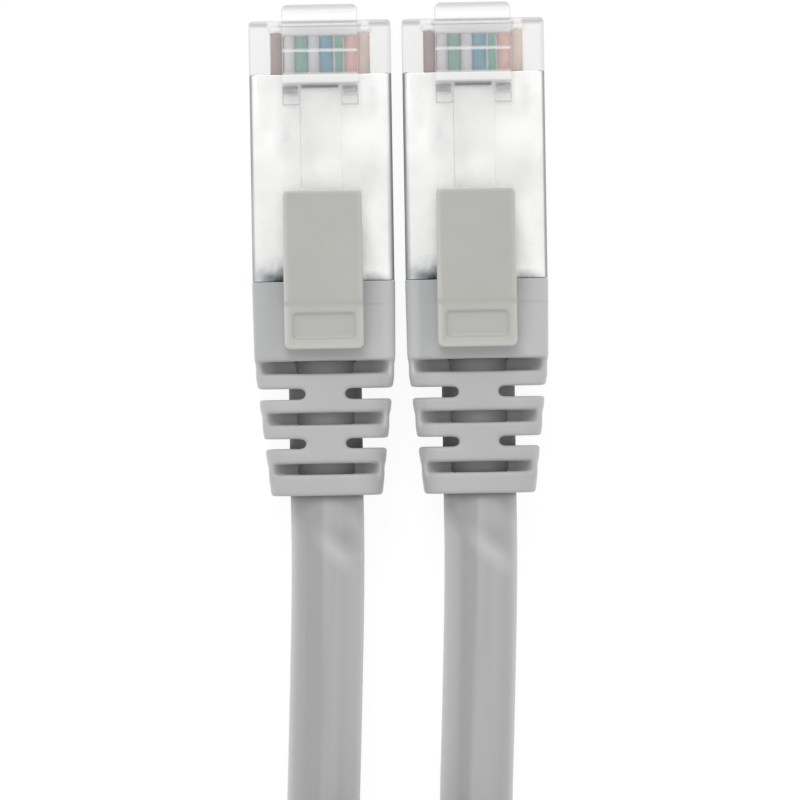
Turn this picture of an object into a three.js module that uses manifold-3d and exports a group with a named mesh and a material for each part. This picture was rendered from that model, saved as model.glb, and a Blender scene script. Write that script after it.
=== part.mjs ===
// Shielded eight-way ethernet patch cable with a snagless boot at each end.
// Millimetres, +Z up, plug fronts towards +Y. The origin is the bottom centre of both plugs and boots.
// Inside a plug's group, y = 0 is the housing's front face and z = 0 is the axis of the cable.
// "From" and "to" are distances behind that front face.

import * as THREE from 'three';
import { mergeVertices } from 'three/addons/utils/BufferGeometryUtils.js';
import Module from 'manifold-3d';

const wasm = await Module();
wasm.setup();

// ---- Plug ----
const PLUG_WIDTH = 11.7;
const PLUG_HEIGHT = 6.6;
const PLUG_LENGTH = 21.48;
const PLUG_PITCH = 12.58;
const FRONT_CORNER_RADIUS = 0.4;
const SHELL_SETBACK = 4.44;
const HOUSING_REAR_SETBACK = 0.9;
const CAVITY_START = 8.0;
const CAVITY_WALL = 0.5;

// ---- Metal shell ----
const SHEET = 0.25;
const SHELL_WIDTH = 11.5;
const SHELL_CORNER_RADIUS = 0.6;
const SHELL_BOTTOM_START = 8.2;
const SHELL_SEAM = 0.2;
const CRIMP_TAIL_WIDTH = 3.6;
const CRIMP_START = 22.7;
const CRIMP_LENGTH = 3.8;

// ---- Contacts, wires and comb ----
const WAYS = 8;
const CONTACT_PITCH = 1.02;
const CONTACT_THICKNESS = 0.32;
const CONTACT_START = 0.75;
const CONTACT_LENGTH = 5.6;
const CONTACT_RECESS = 0.5;
const CONTACT_NOSE_RADIUS = 0.6;
const SLOT_WIDTH = 0.5;
const TINE_LENGTH = 0.5;
const TINE_PLACES = [2.6, 4.6];
const WIRE_DIAMETER = 0.94;
const WIRE_LEVEL = 0.8;
const WIRE_START = 1.05;
const WIRE_END = 18.6;
const PAIR_PITCH = 1.06;
const COMB_START = 8.4;
const COMB_LENGTH = 3.0;
const COMB_MARGIN = 0.35;
const COMB_FLOOR = 0.8;

// ---- Latch ----
const NOSE_REACH = 1.32;
const NOSE_RADIUS = 0.78;
const NOSE_DROP = 0.45;
const NOSE_CORNER_RADIUS = 0.55;
const LATCH_WIDTH = 6.25;
const LATCH_THICKNESS = 1.05;
const LATCH_TRAVEL = THREE.MathUtils.degToRad(10);
const LATCH_ROOT_CLEARANCE = 0.35;
const BAR_START = 4.36;
const BAR_LENGTH = 0.91;
const BAR_RISE = 0.45;
const SHOULDER_END = 6.17;
const SHOULDER_THICKNESS = 0.55;
const LEDGE_END = 7.0;
const LEDGE_THICKNESS = 0.25;
const TONGUE_WIDTH = 3.39;
const TONGUE_THICKNESS = 0.8;
const TONGUE_START = 5.6;
const TONGUE_END = 15.6;

// ---- Boot ----
const BOOT_HEIGHT = 8.0;
const BOOT_LENGTH = 17.57;
const BOOT_FRONT_WIDTH = 11.75;
const BLOCK_LENGTH = 6.5;
const BLOCK_REAR_WIDTH = 11.6;
const BLOCK_CORNER_RADIUS = 1.3;
const TAIL_END_WIDTH = 9.15;
const TAIL_END_HEIGHT = 7.6;
const TAIL_CORNER_RADIUS = 2.0;
const TAIL_END_ROUND = 0.5;
const GROOVES = [
  [6.5, 7.55],
  [10.75, 11.75],
  [14.93, 15.83],
];
const GROOVE_WALL = 0.5;
const GROOVE_WEB = 3.2;
const SIDE_SLOTS = [
  [8.77, 9.65],
  [12.88, 13.7],
];
const SPINE_WIDTH = 3.2;

// ---- Guard over the latch, moulded on the boot ----
const GUARD_WIDTH = 6.5;
const GUARD_FRONT = 13.99;
const GUARD_THICKNESS = 0.95;
const GUARD_HINGE = 23.35;
const GUARD_HINGE_RISE = 1.8;
const GUARD_SLOPE = THREE.MathUtils.degToRad(15.9);
const GUARD_SKIRT = 0.45;
const GUARD_SKIRT_WIDTH = 0.6;
const GUARD_FRONT_RADIUS = 0.4;
const FOOT_END = 27.0;
const FOOT_RECESS_WIDTH = 5.1;
const FOOT_RECESS_START = 24.1;
const FOOT_RECESS_END = 26.2;
const FOOT_RECESS_DEPTH = 0.25;

// ---- Cable ----
const CABLE_DIAMETER = 6.0;
const CRIMPED_RADIUS = 2.7;
const JACKET_START = 17.0;
const JACKET_OVAL_WIDTH = 6.9;
const JACKET_OVAL_HEIGHT = 4.6;
const JACKET_BORE_DEPTH = 2.4;
const BRAID_THICKNESS = 0.2;

// ---- Hank: turns of cable drawn in at the waist, with the two leads passing under its upper fold ----
const HANK_TURNS = 1.5;
const HANK_STEPS_PER_TURN = 24;
const HANK_WAIST_Y = -101.25;
const HANK_RUN = 56;
const HANK_FOLD_RADIUS = 18;
const HANK_STRAND_PITCH = 7;
const HANK_LAYER_PITCH = 6.5;
const HANK_WAIST_DRAW = 6;
const HANK_CROSSING_LIFT = 3.8;
const TIE_WIDTH = 8;
const TIE_THICKNESS = 0.8;
const TIE_CORNER_RADIUS = 3;

// ---- Clearances ----
const SHELL_CLEARANCE = 0.06;
const WIRE_CLEARANCE = 0.05;
const MOVING_CLEARANCE = 0.3;
const BOOT_CLEARANCE = 0.1;
const SLEEVE_CLEARANCE = 0.05;
const BUTT_CLEARANCE = 0.3;
const TIE_CLEARANCE = 0.35;

// Sizes that follow from those above
const CABLE_RADIUS = CABLE_DIAMETER / 2;
const WIRE_RADIUS = WIRE_DIAMETER / 2;
const TOTAL_LENGTH = NOSE_REACH + PLUG_LENGTH + BOOT_LENGTH;
const FRONT_Y = TOTAL_LENGTH / 2 - NOSE_REACH;
const AXIS_Z = BOOT_HEIGHT / 2;
const PLUG_TOP = PLUG_HEIGHT / 2;
const BOOT_TOP = BOOT_HEIGHT / 2;
const BOOT_END = PLUG_LENGTH + BOOT_LENGTH;
const BODY_WIDTH = SHELL_WIDTH - 2 * (SHEET + SHELL_CLEARANCE);
const BODY_HEIGHT = PLUG_HEIGHT - 2 * (SHEET + SHELL_CLEARANCE);
const CAVITY_WIDTH = BODY_WIDTH - 2 * CAVITY_WALL;
const CAVITY_HEIGHT = BODY_HEIGHT - 2 * CAVITY_WALL;
const BODY_CORNER_RADIUS = SHELL_CORNER_RADIUS - SHEET;
const SHELL_WINDOW_WIDTH = SHELL_WIDTH - 2 * SHELL_CORNER_RADIUS;
const HOUSING_REAR = PLUG_LENGTH - HOUSING_REAR_SETBACK;
const NOSE_AXIS_AHEAD = NOSE_REACH - NOSE_RADIUS;
const NOSE_AXIS_Z = PLUG_TOP - NOSE_DROP;
const CHANNEL_BOTTOM = WIRE_LEVEL - WIRE_RADIUS - WIRE_CLEARANCE;
const GUARD_HINGE_Z = BOOT_TOP + GUARD_HINGE_RISE;
const KNUCKLE_RADIUS = GUARD_THICKNESS / 2;
const FOOT_TOP = GUARD_HINGE_Z + KNUCKLE_RADIUS;
const BRAID_INNER_RADIUS = CRIMPED_RADIUS + SLEEVE_CLEARANCE;
const BRAID_OUTER_RADIUS = BRAID_INNER_RADIUS + BRAID_THICKNESS;
const COLLAR_INNER_RADIUS = BRAID_OUTER_RADIUS + SLEEVE_CLEARANCE;
const COLLAR_OUTER_RADIUS = COLLAR_INNER_RADIUS + SHEET;
const CRIMP_END = CRIMP_START + CRIMP_LENGTH;

const CURVE_STEPS = 2;
const ROUND_STEPS = 20;
const OVERCUT = 1;

const X = new THREE.Vector3(1, 0, 0);
const Y = new THREE.Vector3(0, 1, 0);
const Z = new THREE.Vector3(0, 0, 1);

// ---- Geometry helpers ----

function solidOf(geometry) {
  const bare = geometry.clone();
  bare.deleteAttribute('normal');
  bare.deleteAttribute('uv');
  const merged = mergeVertices(bare, 1e-4);
  const mesh = new wasm.Mesh({
    numProp: 3,
    vertProperties: new Float32Array(merged.attributes.position.array),
    triVerts: new Uint32Array(merged.index.array),
  });
  return new wasm.Manifold(mesh);
}

function geometryOf(solid) {
  const mesh = solid.getMesh();
  const geometry = new THREE.BufferGeometry();
  geometry.setAttribute('position', new THREE.BufferAttribute(mesh.vertProperties, mesh.numProp));
  geometry.setIndex(new THREE.BufferAttribute(mesh.triVerts, 1));
  geometry.computeVertexNormals();
  return geometry;
}

function joined(...geometries) {
  return geometries.map(solidOf).reduce((whole, next) => whole.add(next));
}

function cut(solid, ...geometries) {
  return geometries.map(solidOf).reduce((left, tool) => left.subtract(tool), solid);
}

function extruded(outline, depth, curveSegments = CURVE_STEPS) {
  return new THREE.ExtrudeGeometry(outline, { depth, bevelEnabled: false, curveSegments });
}

// An outline in (y, z), pushed along x and centred on the given x
function acrossX(outline, width, centre = 0) {
  const geometry = extruded(outline, width);
  geometry.applyMatrix4(new THREE.Matrix4().makeBasis(Y, Z, X));
  return geometry.translate(centre - width / 2, 0, 0);
}

// An outline in (x, z), pushed backwards
function alongY(outline, from, to, curveSegments = CURVE_STEPS) {
  const geometry = extruded(outline, to - from, curveSegments);
  geometry.applyMatrix4(new THREE.Matrix4().makeBasis(X, Z, Y.clone().negate()));
  return geometry.translate(0, -from, 0);
}

function block(width, from, to, bottom, top, centre = 0) {
  const geometry = new THREE.BoxGeometry(width, to - from, top - bottom);
  return geometry.translate(centre, -(from + to) / 2, (bottom + top) / 2);
}

// A cylinder whose axis lies across the plug
function crossPin(radius, width, distance, height) {
  const geometry = new THREE.CylinderGeometry(radius, radius, width, ROUND_STEPS);
  return geometry.rotateZ(Math.PI / 2).translate(0, -distance, height);
}

function polygon(points) {
  return new THREE.Shape(points.map(([across, up]) => new THREE.Vector2(across, up)));
}

// A profile given as [distance behind the front, height]
function sideProfile(points) {
  return polygon(points.map(([distance, height]) => [-distance, height]));
}

function roundedRectangle(width, height, radius) {
  const right = width / 2;
  const top = height / 2;
  const shape = new THREE.Shape();
  shape.absarc(right - radius, top - radius, radius, 0, Math.PI / 2);
  shape.absarc(radius - right, top - radius, radius, Math.PI / 2, Math.PI);
  shape.absarc(radius - right, radius - top, radius, Math.PI, 1.5 * Math.PI);
  shape.absarc(right - radius, radius - top, radius, 1.5 * Math.PI, 2 * Math.PI);
  shape.closePath();
  return shape;
}

function circle(radius) {
  const shape = new THREE.Shape();
  shape.absarc(0, 0, radius, 0, 2 * Math.PI);
  return shape;
}

// One closed body through rings of points that turn anticlockwise about the way they advance
function bodyOfRings(rings) {
  const count = rings[0].length;
  const positions = rings.flat().flatMap((point) => point.toArray());
  const index = [];
  for (let ring = 0; ring + 1 < rings.length; ring += 1) {
    for (let i = 0; i < count; i += 1) {
      const a = ring * count + i;
      const b = ring * count + ((i + 1) % count);
      index.push(a, b, b + count, a, b + count, a + count);
    }
  }
  const last = (rings.length - 1) * count;
  for (let i = 1; i + 1 < count; i += 1) {
    index.push(0, i + 1, i);
    index.push(last, last + i, last + i + 1);
  }
  const geometry = new THREE.BufferGeometry();
  geometry.setAttribute('position', new THREE.Float32BufferAttribute(positions, 3));
  geometry.setIndex(index);
  geometry.computeVertexNormals();
  return geometry;
}

// A ring for bodyOfRings from an outline in (x, z)
function ringAt(outline, distance) {
  const points = outline.extractPoints(CURVE_STEPS).shape;
  const ring = points.map((point) => new THREE.Vector3(point.x, -distance, point.y));
  if (ring[0].distanceTo(ring[ring.length - 1]) < 1e-6) {
    ring.pop();
  }
  return ring;
}

function ellipseRing(width, height, distance) {
  return Array.from({ length: ROUND_STEPS }, (_, i) => {
    const angle = (2 * Math.PI * i) / ROUND_STEPS;
    return new THREE.Vector3((width / 2) * Math.cos(angle), -distance, (height / 2) * Math.sin(angle));
  });
}

function wayX(way) {
  return (way - (WAYS - 1) / 2) * CONTACT_PITCH;
}

function smooth(value, from, to) {
  return THREE.MathUtils.smoothstep(value, from, to);
}

// ---- Housing ----

function housingOutline() {
  const half = PLUG_WIDTH / 2;
  const shape = new THREE.Shape();
  shape.moveTo(-half, -(SHELL_SETBACK - SHELL_CLEARANCE));
  shape.lineTo(half, -(SHELL_SETBACK - SHELL_CLEARANCE));
  shape.lineTo(half, -FRONT_CORNER_RADIUS);
  shape.absarc(half - FRONT_CORNER_RADIUS, -FRONT_CORNER_RADIUS, FRONT_CORNER_RADIUS, 0, Math.PI / 2);
  shape.absarc(FRONT_CORNER_RADIUS - half, -FRONT_CORNER_RADIUS, FRONT_CORNER_RADIUS, Math.PI / 2, Math.PI);
  shape.closePath();
  return shape;
}

// The slot of one contact: open below, and in front under the contact's own nose
function slotProfile() {
  const bottom = -PLUG_TOP - OVERCUT;
  const top = CHANNEL_BOTTOM + WIRE_CLEARANCE;
  const front = CONTACT_START - WIRE_CLEARANCE;
  const back = CONTACT_START + CONTACT_LENGTH + WIRE_CLEARANCE;
  const mouth = -PLUG_TOP + 2 * (CONTACT_RECESS + CONTACT_NOSE_RADIUS);
  return sideProfile([
    [-OVERCUT, bottom],
    [-OVERCUT, mouth],
    [front, mouth],
    [front, top],
    [back, top],
    [back, bottom],
  ]);
}

function housing() {
  const front = extruded(housingOutline(), PLUG_HEIGHT).translate(0, 0, -PLUG_TOP);
  const seat = SHELL_SETBACK - OVERCUT;
  const body = alongY(roundedRectangle(BODY_WIDTH, BODY_HEIGHT, BODY_CORNER_RADIUS), seat, HOUSING_REAR);
  const chinWidth = SHELL_WINDOW_WIDTH - 2 * SHELL_CLEARANCE;
  const chin = block(chinWidth, seat, SHELL_BOTTOM_START - SHELL_CLEARANCE, -PLUG_TOP, 0);
  const channelWidth = WAYS * CONTACT_PITCH + 2 * WIRE_CLEARANCE;
  const channelTop = WIRE_LEVEL + WIRE_RADIUS + WIRE_CLEARANCE;
  const channelStart = WIRE_START - WIRE_CLEARANCE;
  const cavityRear = HOUSING_REAR + OVERCUT;
  const latchGap = LATCH_WIDTH + 2 * MOVING_CLEARANCE;
  const slots = Array.from({ length: WAYS }, (_, way) => acrossX(slotProfile(), SLOT_WIDTH, wayX(way)));
  return cut(
    joined(front, body, chin),
    block(channelWidth, channelStart, CAVITY_START + OVERCUT, CHANNEL_BOTTOM, channelTop),
    block(CAVITY_WIDTH, CAVITY_START, cavityRear, -CAVITY_HEIGHT / 2, CAVITY_HEIGHT / 2),
    crossPin(NOSE_RADIUS + MOVING_CLEARANCE, latchGap, -NOSE_AXIS_AHEAD, NOSE_AXIS_Z),
    ...slots,
  );
}

// ---- Contacts, wires and comb ----

function contactProfile() {
  const back = CONTACT_START + CONTACT_LENGTH;
  const bottom = -PLUG_TOP + CONTACT_RECESS;
  const top = CHANNEL_BOTTOM - WIRE_CLEARANCE;
  const r = CONTACT_NOSE_RADIUS;
  const shape = new THREE.Shape();
  shape.moveTo(-back, bottom);
  shape.absarc(-CONTACT_START - r, bottom + r, r, -Math.PI / 2, 0);
  shape.lineTo(-CONTACT_START, top);
  TINE_PLACES.forEach((place) => {
    shape.lineTo(-place, top);
    shape.lineTo(-place - TINE_LENGTH / 4, WIRE_LEVEL);
    shape.lineTo(-place - (3 * TINE_LENGTH) / 4, WIRE_LEVEL);
    shape.lineTo(-place - TINE_LENGTH, top);
  });
  shape.lineTo(-back, top);
  shape.closePath();
  return shape;
}

function contact() {
  return solidOf(acrossX(contactProfile(), CONTACT_THICKNESS));
}

// A wire runs straight over its contact and through the comb, then rises or drops to its row, and then
// closes up beside its pair, so that eight wires side by side become two rows of four
class WirePath extends THREE.Curve {
  constructor(way) {
    super();
    this.way = way;
    this.row = way % 2 === 0 ? PAIR_PITCH / 2 : -PAIR_PITCH / 2;
    this.column = (Math.floor(way / 2) - (WAYS / 2 - 1) / 2) * PAIR_PITCH;
  }

  getPoint(t, target = new THREE.Vector3()) {
    const distance = THREE.MathUtils.lerp(WIRE_START, WIRE_END, t);
    const start = COMB_START + COMB_LENGTH;
    const middle = (start + JACKET_START) / 2;
    const rise = smooth(distance, start, middle + 1);
    const close = smooth(distance, middle - 0.5, JACKET_START);
    const x = THREE.MathUtils.lerp(wayX(this.way), this.column, close);
    const z = THREE.MathUtils.lerp(WIRE_LEVEL, this.row, rise);
    return target.set(x, -distance, z);
  }
}

function wire(way) {
  const section = polygon(
    Array.from({ length: 8 }, (_, i) => [
      WIRE_RADIUS * Math.cos((i + 0.5) * (Math.PI / 4)),
      WIRE_RADIUS * Math.sin((i + 0.5) * (Math.PI / 4)),
    ]),
  );
  const tube = new THREE.ExtrudeGeometry(section, {
    steps: 18,
    extrudePath: new WirePath(way),
    bevelEnabled: false,
  });
  const notches = TINE_PLACES.map((place) =>
    block(
      CONTACT_THICKNESS + 2 * WIRE_CLEARANCE,
      place - WIRE_CLEARANCE,
      place + TINE_LENGTH + WIRE_CLEARANCE,
      WIRE_LEVEL - WIRE_DIAMETER,
      WIRE_LEVEL + WIRE_CLEARANCE,
      wayX(way),
    ),
  );
  return cut(solidOf(tube), ...notches);
}

// The comb is a cradle whose grooves hold the wires at the contacts' pitch
function wireComb() {
  const half = (WAYS * CONTACT_PITCH) / 2 + COMB_MARGIN;
  const bottom = WIRE_LEVEL - WIRE_RADIUS - COMB_FLOOR;
  const top = WIRE_LEVEL - 0.2;
  const radius = WIRE_RADIUS + 0.8 * WIRE_CLEARANCE;
  const reach = Math.asin((WIRE_LEVEL - top) / radius);
  const shape = new THREE.Shape();
  shape.moveTo(-half, bottom);
  shape.lineTo(half, bottom);
  shape.lineTo(half, top);
  for (let way = WAYS - 1; way >= 0; way -= 1) {
    shape.absarc(wayX(way), WIRE_LEVEL, radius, -reach, reach - Math.PI, true);
  }
  shape.lineTo(-half, top);
  shape.closePath();
  return solidOf(alongY(shape, COMB_START, COMB_START + COMB_LENGTH));
}

// ---- Cable end: jacket and braid ----

function jacketEnd() {
  const squeezedEnd = HOUSING_REAR;
  const outer = bodyOfRings([
    ellipseRing(JACKET_OVAL_WIDTH, JACKET_OVAL_HEIGHT, JACKET_START),
    ellipseRing(JACKET_OVAL_WIDTH, JACKET_OVAL_HEIGHT, squeezedEnd),
    ellipseRing(2 * CRIMPED_RADIUS, 2 * CRIMPED_RADIUS, CRIMP_START - 2 * SLEEVE_CLEARANCE),
    ellipseRing(2 * CRIMPED_RADIUS, 2 * CRIMPED_RADIUS, CRIMP_END + 2 * SLEEVE_CLEARANCE),
    ellipseRing(CABLE_DIAMETER, CABLE_DIAMETER, CRIMP_END + CABLE_RADIUS / 2),
    ellipseRing(CABLE_DIAMETER, CABLE_DIAMETER, BOOT_END),
  ]);
  const boreWidth = (WAYS / 2 - 1) * PAIR_PITCH + WIRE_DIAMETER + 4 * WIRE_CLEARANCE;
  const boreHeight = PAIR_PITCH + WIRE_DIAMETER + 4 * WIRE_CLEARANCE;
  const bore = alongY(
    roundedRectangle(boreWidth, boreHeight, WIRE_RADIUS / 2),
    JACKET_START - OVERCUT,
    JACKET_START + JACKET_BORE_DEPTH,
  );
  return cut(solidOf(outer), bore);
}

function sleeve(inner, outer, from, to) {
  const shape = circle(outer);
  shape.holes.push(circle(inner));
  return alongY(shape, from, to, ROUND_STEPS / 2);
}

function braid() {
  return solidOf(sleeve(BRAID_INNER_RADIUS, BRAID_OUTER_RADIUS, CRIMP_START, CRIMP_END));
}

// ---- Shield ----

// One folded sheet: a box with its seam below, a tail stepping up behind it, and a collar round the braid
function shield() {
  const rear = PLUG_LENGTH - SHELL_CLEARANCE;
  const outer = roundedRectangle(SHELL_WIDTH, PLUG_HEIGHT, SHELL_CORNER_RADIUS);
  const inner = roundedRectangle(SHELL_WIDTH - 2 * SHEET, PLUG_HEIGHT - 2 * SHEET, BODY_CORNER_RADIUS);
  const box = cut(solidOf(alongY(outer, SHELL_SETBACK, rear)), alongY(inner, SHELL_SETBACK - OVERCUT, rear + OVERCUT));
  const plateBottom = PLUG_TOP - SHEET;
  const tail = sideProfile([
    [rear - OVERCUT, plateBottom],
    [rear - OVERCUT, PLUG_TOP],
    [rear, PLUG_TOP],
    [CRIMP_START + SHEET, COLLAR_OUTER_RADIUS - SHEET / 4],
    [CRIMP_START + SHEET, COLLAR_INNER_RADIUS + SHEET / 4],
    [rear, plateBottom],
  ]);
  const collar = sleeve(COLLAR_INNER_RADIUS, COLLAR_OUTER_RADIUS, CRIMP_START, CRIMP_END);
  const whole = box.add(solidOf(acrossX(tail, CRIMP_TAIL_WIDTH))).add(solidOf(collar));
  const windowTop = OVERCUT - plateBottom;
  return cut(
    whole,
    block(SHELL_WINDOW_WIDTH, SHELL_SETBACK - OVERCUT, SHELL_BOTTOM_START, -PLUG_TOP - OVERCUT, windowTop),
    block(SHELL_SEAM, SHELL_SETBACK, CRIMP_END + OVERCUT, -COLLAR_OUTER_RADIUS - OVERCUT, 0),
  );
}

// ---- Latch ----

function latchUnderside(distance) {
  const start = NOSE_RADIUS - NOSE_AXIS_AHEAD;
  return PLUG_TOP + LATCH_ROOT_CLEARANCE + (distance - start) * Math.tan(LATCH_TRAVEL);
}

function plateProfile() {
  const under = latchUnderside;
  const start = NOSE_RADIUS - NOSE_AXIS_AHEAD;
  const barEnd = BAR_START + BAR_LENGTH;
  return sideProfile([
    [start, under(start)],
    [-NOSE_AXIS_AHEAD, NOSE_AXIS_Z],
    [-NOSE_AXIS_AHEAD, NOSE_AXIS_Z + NOSE_RADIUS],
    [start, NOSE_AXIS_Z + NOSE_RADIUS + 0.35 * LATCH_THICKNESS],
    [BAR_START, under(BAR_START) + LATCH_THICKNESS],
    [BAR_START + BAR_RISE / 2, under(BAR_START) + LATCH_THICKNESS + BAR_RISE],
    [barEnd, under(barEnd) + LATCH_THICKNESS + BAR_RISE / 2],
    [barEnd, under(barEnd) + SHOULDER_THICKNESS],
    [SHOULDER_END, under(SHOULDER_END) + SHOULDER_THICKNESS],
    [SHOULDER_END, under(SHOULDER_END) + LEDGE_THICKNESS],
    [LEDGE_END, under(LEDGE_END) + LEDGE_THICKNESS],
    [LEDGE_END, under(LEDGE_END)],
  ]);
}

function tongueProfile() {
  const under = latchUnderside;
  const overlap = TONGUE_START - BAR_LENGTH / 2;
  const round = TONGUE_THICKNESS / 3;
  return sideProfile([
    [overlap, under(overlap)],
    [overlap, under(overlap) + SHOULDER_THICKNESS],
    [TONGUE_START, under(TONGUE_START) + SHOULDER_THICKNESS],
    [TONGUE_START + round, under(TONGUE_START) + TONGUE_THICKNESS],
    [TONGUE_END - round, under(TONGUE_END - round) + TONGUE_THICKNESS],
    [TONGUE_END, under(TONGUE_END) + TONGUE_THICKNESS - round],
    [TONGUE_END, under(TONGUE_END) + round],
    [TONGUE_END - round, under(TONGUE_END - round)],
  ]);
}

// What the latch fills from above: its full width, with round corners at the nose
function latchPlan() {
  const length = NOSE_REACH + TONGUE_END + NOSE_CORNER_RADIUS;
  const outline = roundedRectangle(LATCH_WIDTH, length, NOSE_CORNER_RADIUS);
  const height = BOOT_HEIGHT + PLUG_HEIGHT;
  return extruded(outline, height).translate(0, NOSE_REACH - length / 2, -height / 2);
}

function latch() {
  const whole = joined(
    acrossX(plateProfile(), LATCH_WIDTH),
    crossPin(NOSE_RADIUS, LATCH_WIDTH, -NOSE_AXIS_AHEAD, NOSE_AXIS_Z),
    acrossX(tongueProfile(), TONGUE_WIDTH),
  );
  return whole.intersect(solidOf(latchPlan()));
}

// ---- Boot and guard ----

function tailWidth(distance) {
  const share = (distance - BLOCK_LENGTH) / (BOOT_LENGTH - BLOCK_LENGTH);
  return THREE.MathUtils.lerp(BLOCK_REAR_WIDTH, TAIL_END_WIDTH, share);
}

function tailHeight(distance) {
  const share = (distance - BLOCK_LENGTH) / (BOOT_LENGTH - BLOCK_LENGTH);
  return THREE.MathUtils.lerp(BOOT_HEIGHT, TAIL_END_HEIGHT, share);
}

function tailRing(distance, inset) {
  const width = tailWidth(distance) - 2 * inset;
  const height = tailHeight(distance) - 2 * inset;
  const outline = roundedRectangle(width, height, TAIL_CORNER_RADIUS - inset);
  return ringAt(outline, PLUG_LENGTH + distance);
}

function bootBlock() {
  return bodyOfRings([
    ringAt(roundedRectangle(BOOT_FRONT_WIDTH, BOOT_HEIGHT, BLOCK_CORNER_RADIUS), PLUG_LENGTH),
    ringAt(roundedRectangle(BLOCK_REAR_WIDTH, BOOT_HEIGHT, BLOCK_CORNER_RADIUS), PLUG_LENGTH + BLOCK_LENGTH),
  ]);
}

function bootTail() {
  return bodyOfRings([
    tailRing(BLOCK_LENGTH - OVERCUT, 0),
    tailRing(BOOT_LENGTH - TAIL_END_ROUND, 0),
    tailRing(BOOT_LENGTH - TAIL_END_ROUND / 3, TAIL_END_ROUND / 3),
    tailRing(BOOT_LENGTH, TAIL_END_ROUND),
  ]);
}

// A groove is cut from above and from below, down to a web beside the cable
function grooveCuts([from, to]) {
  const width = tailWidth(from) - 2 * GROOVE_WALL;
  const reach = BOOT_TOP + OVERCUT;
  return [
    block(width, PLUG_LENGTH + from, PLUG_LENGTH + to, GROOVE_WEB / 2, reach),
    block(width, PLUG_LENGTH + from, PLUG_LENGTH + to, -reach, -GROOVE_WEB / 2),
  ];
}

// A slot from one side, round at its inner end
function sideSlotCut([from, to], side) {
  const radius = (to - from) / 2;
  const middle = -(PLUG_LENGTH + (from + to) / 2);
  const inner = SPINE_WIDTH / 2 + radius;
  const outer = BOOT_FRONT_WIDTH;
  const shape = new THREE.Shape();
  shape.moveTo(outer, middle + radius);
  shape.absarc(inner, middle, radius, Math.PI / 2, 1.5 * Math.PI);
  shape.lineTo(outer, middle - radius);
  shape.closePath();
  const reach = BOOT_TOP + OVERCUT;
  const geometry = extruded(shape, 2 * reach).translate(0, 0, -reach);
  return side > 0 ? geometry : geometry.rotateZ(Math.PI).translate(0, 2 * middle, 0);
}

function foot() {
  const front = GUARD_HINGE - KNUCKLE_RADIUS;
  const outline = roundedRectangle(GUARD_WIDTH, FOOT_END - front, GUARD_FRONT_RADIUS);
  const height = FOOT_TOP - BOOT_TOP + OVERCUT;
  return extruded(outline, height).translate(0, -(front + FOOT_END) / 2, BOOT_TOP - OVERCUT);
}

function boot() {
  const collarBore = circle(COLLAR_OUTER_RADIUS + BOOT_CLEARANCE);
  const cableBore = circle(CABLE_RADIUS + BOOT_CLEARANCE);
  const boreSteps = ROUND_STEPS / 2;
  const boreStep = CRIMP_END + CABLE_RADIUS / 2;
  const tailPocketWidth = CRIMP_TAIL_WIDTH + 2 * BOOT_CLEARANCE;
  const tailPocketEnd = CRIMP_START + SHEET + BOOT_CLEARANCE;
  return cut(
    joined(bootBlock(), bootTail(), foot()),
    block(tailPocketWidth, PLUG_LENGTH - OVERCUT, tailPocketEnd, 0, PLUG_TOP + BOOT_CLEARANCE),
    alongY(collarBore, PLUG_LENGTH - OVERCUT, boreStep, boreSteps),
    alongY(cableBore, boreStep - OVERCUT, BOOT_END + OVERCUT, boreSteps),
    crossPin(KNUCKLE_RADIUS + MOVING_CLEARANCE, GUARD_WIDTH + OVERCUT, GUARD_HINGE, GUARD_HINGE_Z),
    block(FOOT_RECESS_WIDTH, FOOT_RECESS_START, FOOT_RECESS_END, FOOT_TOP - FOOT_RECESS_DEPTH, FOOT_TOP + OVERCUT),
    ...GROOVES.flatMap(grooveCuts),
    ...SIDE_SLOTS.flatMap((slot) => [sideSlotCut(slot, 1), sideSlotCut(slot, -1)]),
  );
}

// The guard is drawn level about its hinge and then tilted up over the latch
function guardPlate(depth, width, centre) {
  const length = (GUARD_HINGE - GUARD_FRONT) / Math.cos(GUARD_SLOPE);
  const outline = roundedRectangle(width, length, GUARD_FRONT_RADIUS / 2);
  const geometry = extruded(outline, GUARD_THICKNESS + depth);
  return geometry.translate(centre, length / 2, -KNUCKLE_RADIUS - depth);
}

function guard() {
  const skirtCentre = (GUARD_WIDTH - GUARD_SKIRT_WIDTH) / 2;
  const skirtStart = 4 * KNUCKLE_RADIUS;
  const level = joined(
    guardPlate(0, GUARD_WIDTH, 0),
    guardPlate(GUARD_SKIRT, GUARD_SKIRT_WIDTH, -skirtCentre),
    guardPlate(GUARD_SKIRT, GUARD_SKIRT_WIDTH, skirtCentre),
    crossPin(KNUCKLE_RADIUS, GUARD_WIDTH, 0, 0),
  );
  const heel = block(GUARD_WIDTH + OVERCUT, -skirtStart, OVERCUT, -GUARD_THICKNESS - GUARD_SKIRT, -KNUCKLE_RADIUS);
  const trimmed = geometryOf(cut(level, heel));
  trimmed.rotateX(GUARD_SLOPE);
  trimmed.translate(0, -GUARD_HINGE, GUARD_HINGE_Z);
  return solidOf(trimmed);
}

// ---- Cable between the plugs ----

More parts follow.
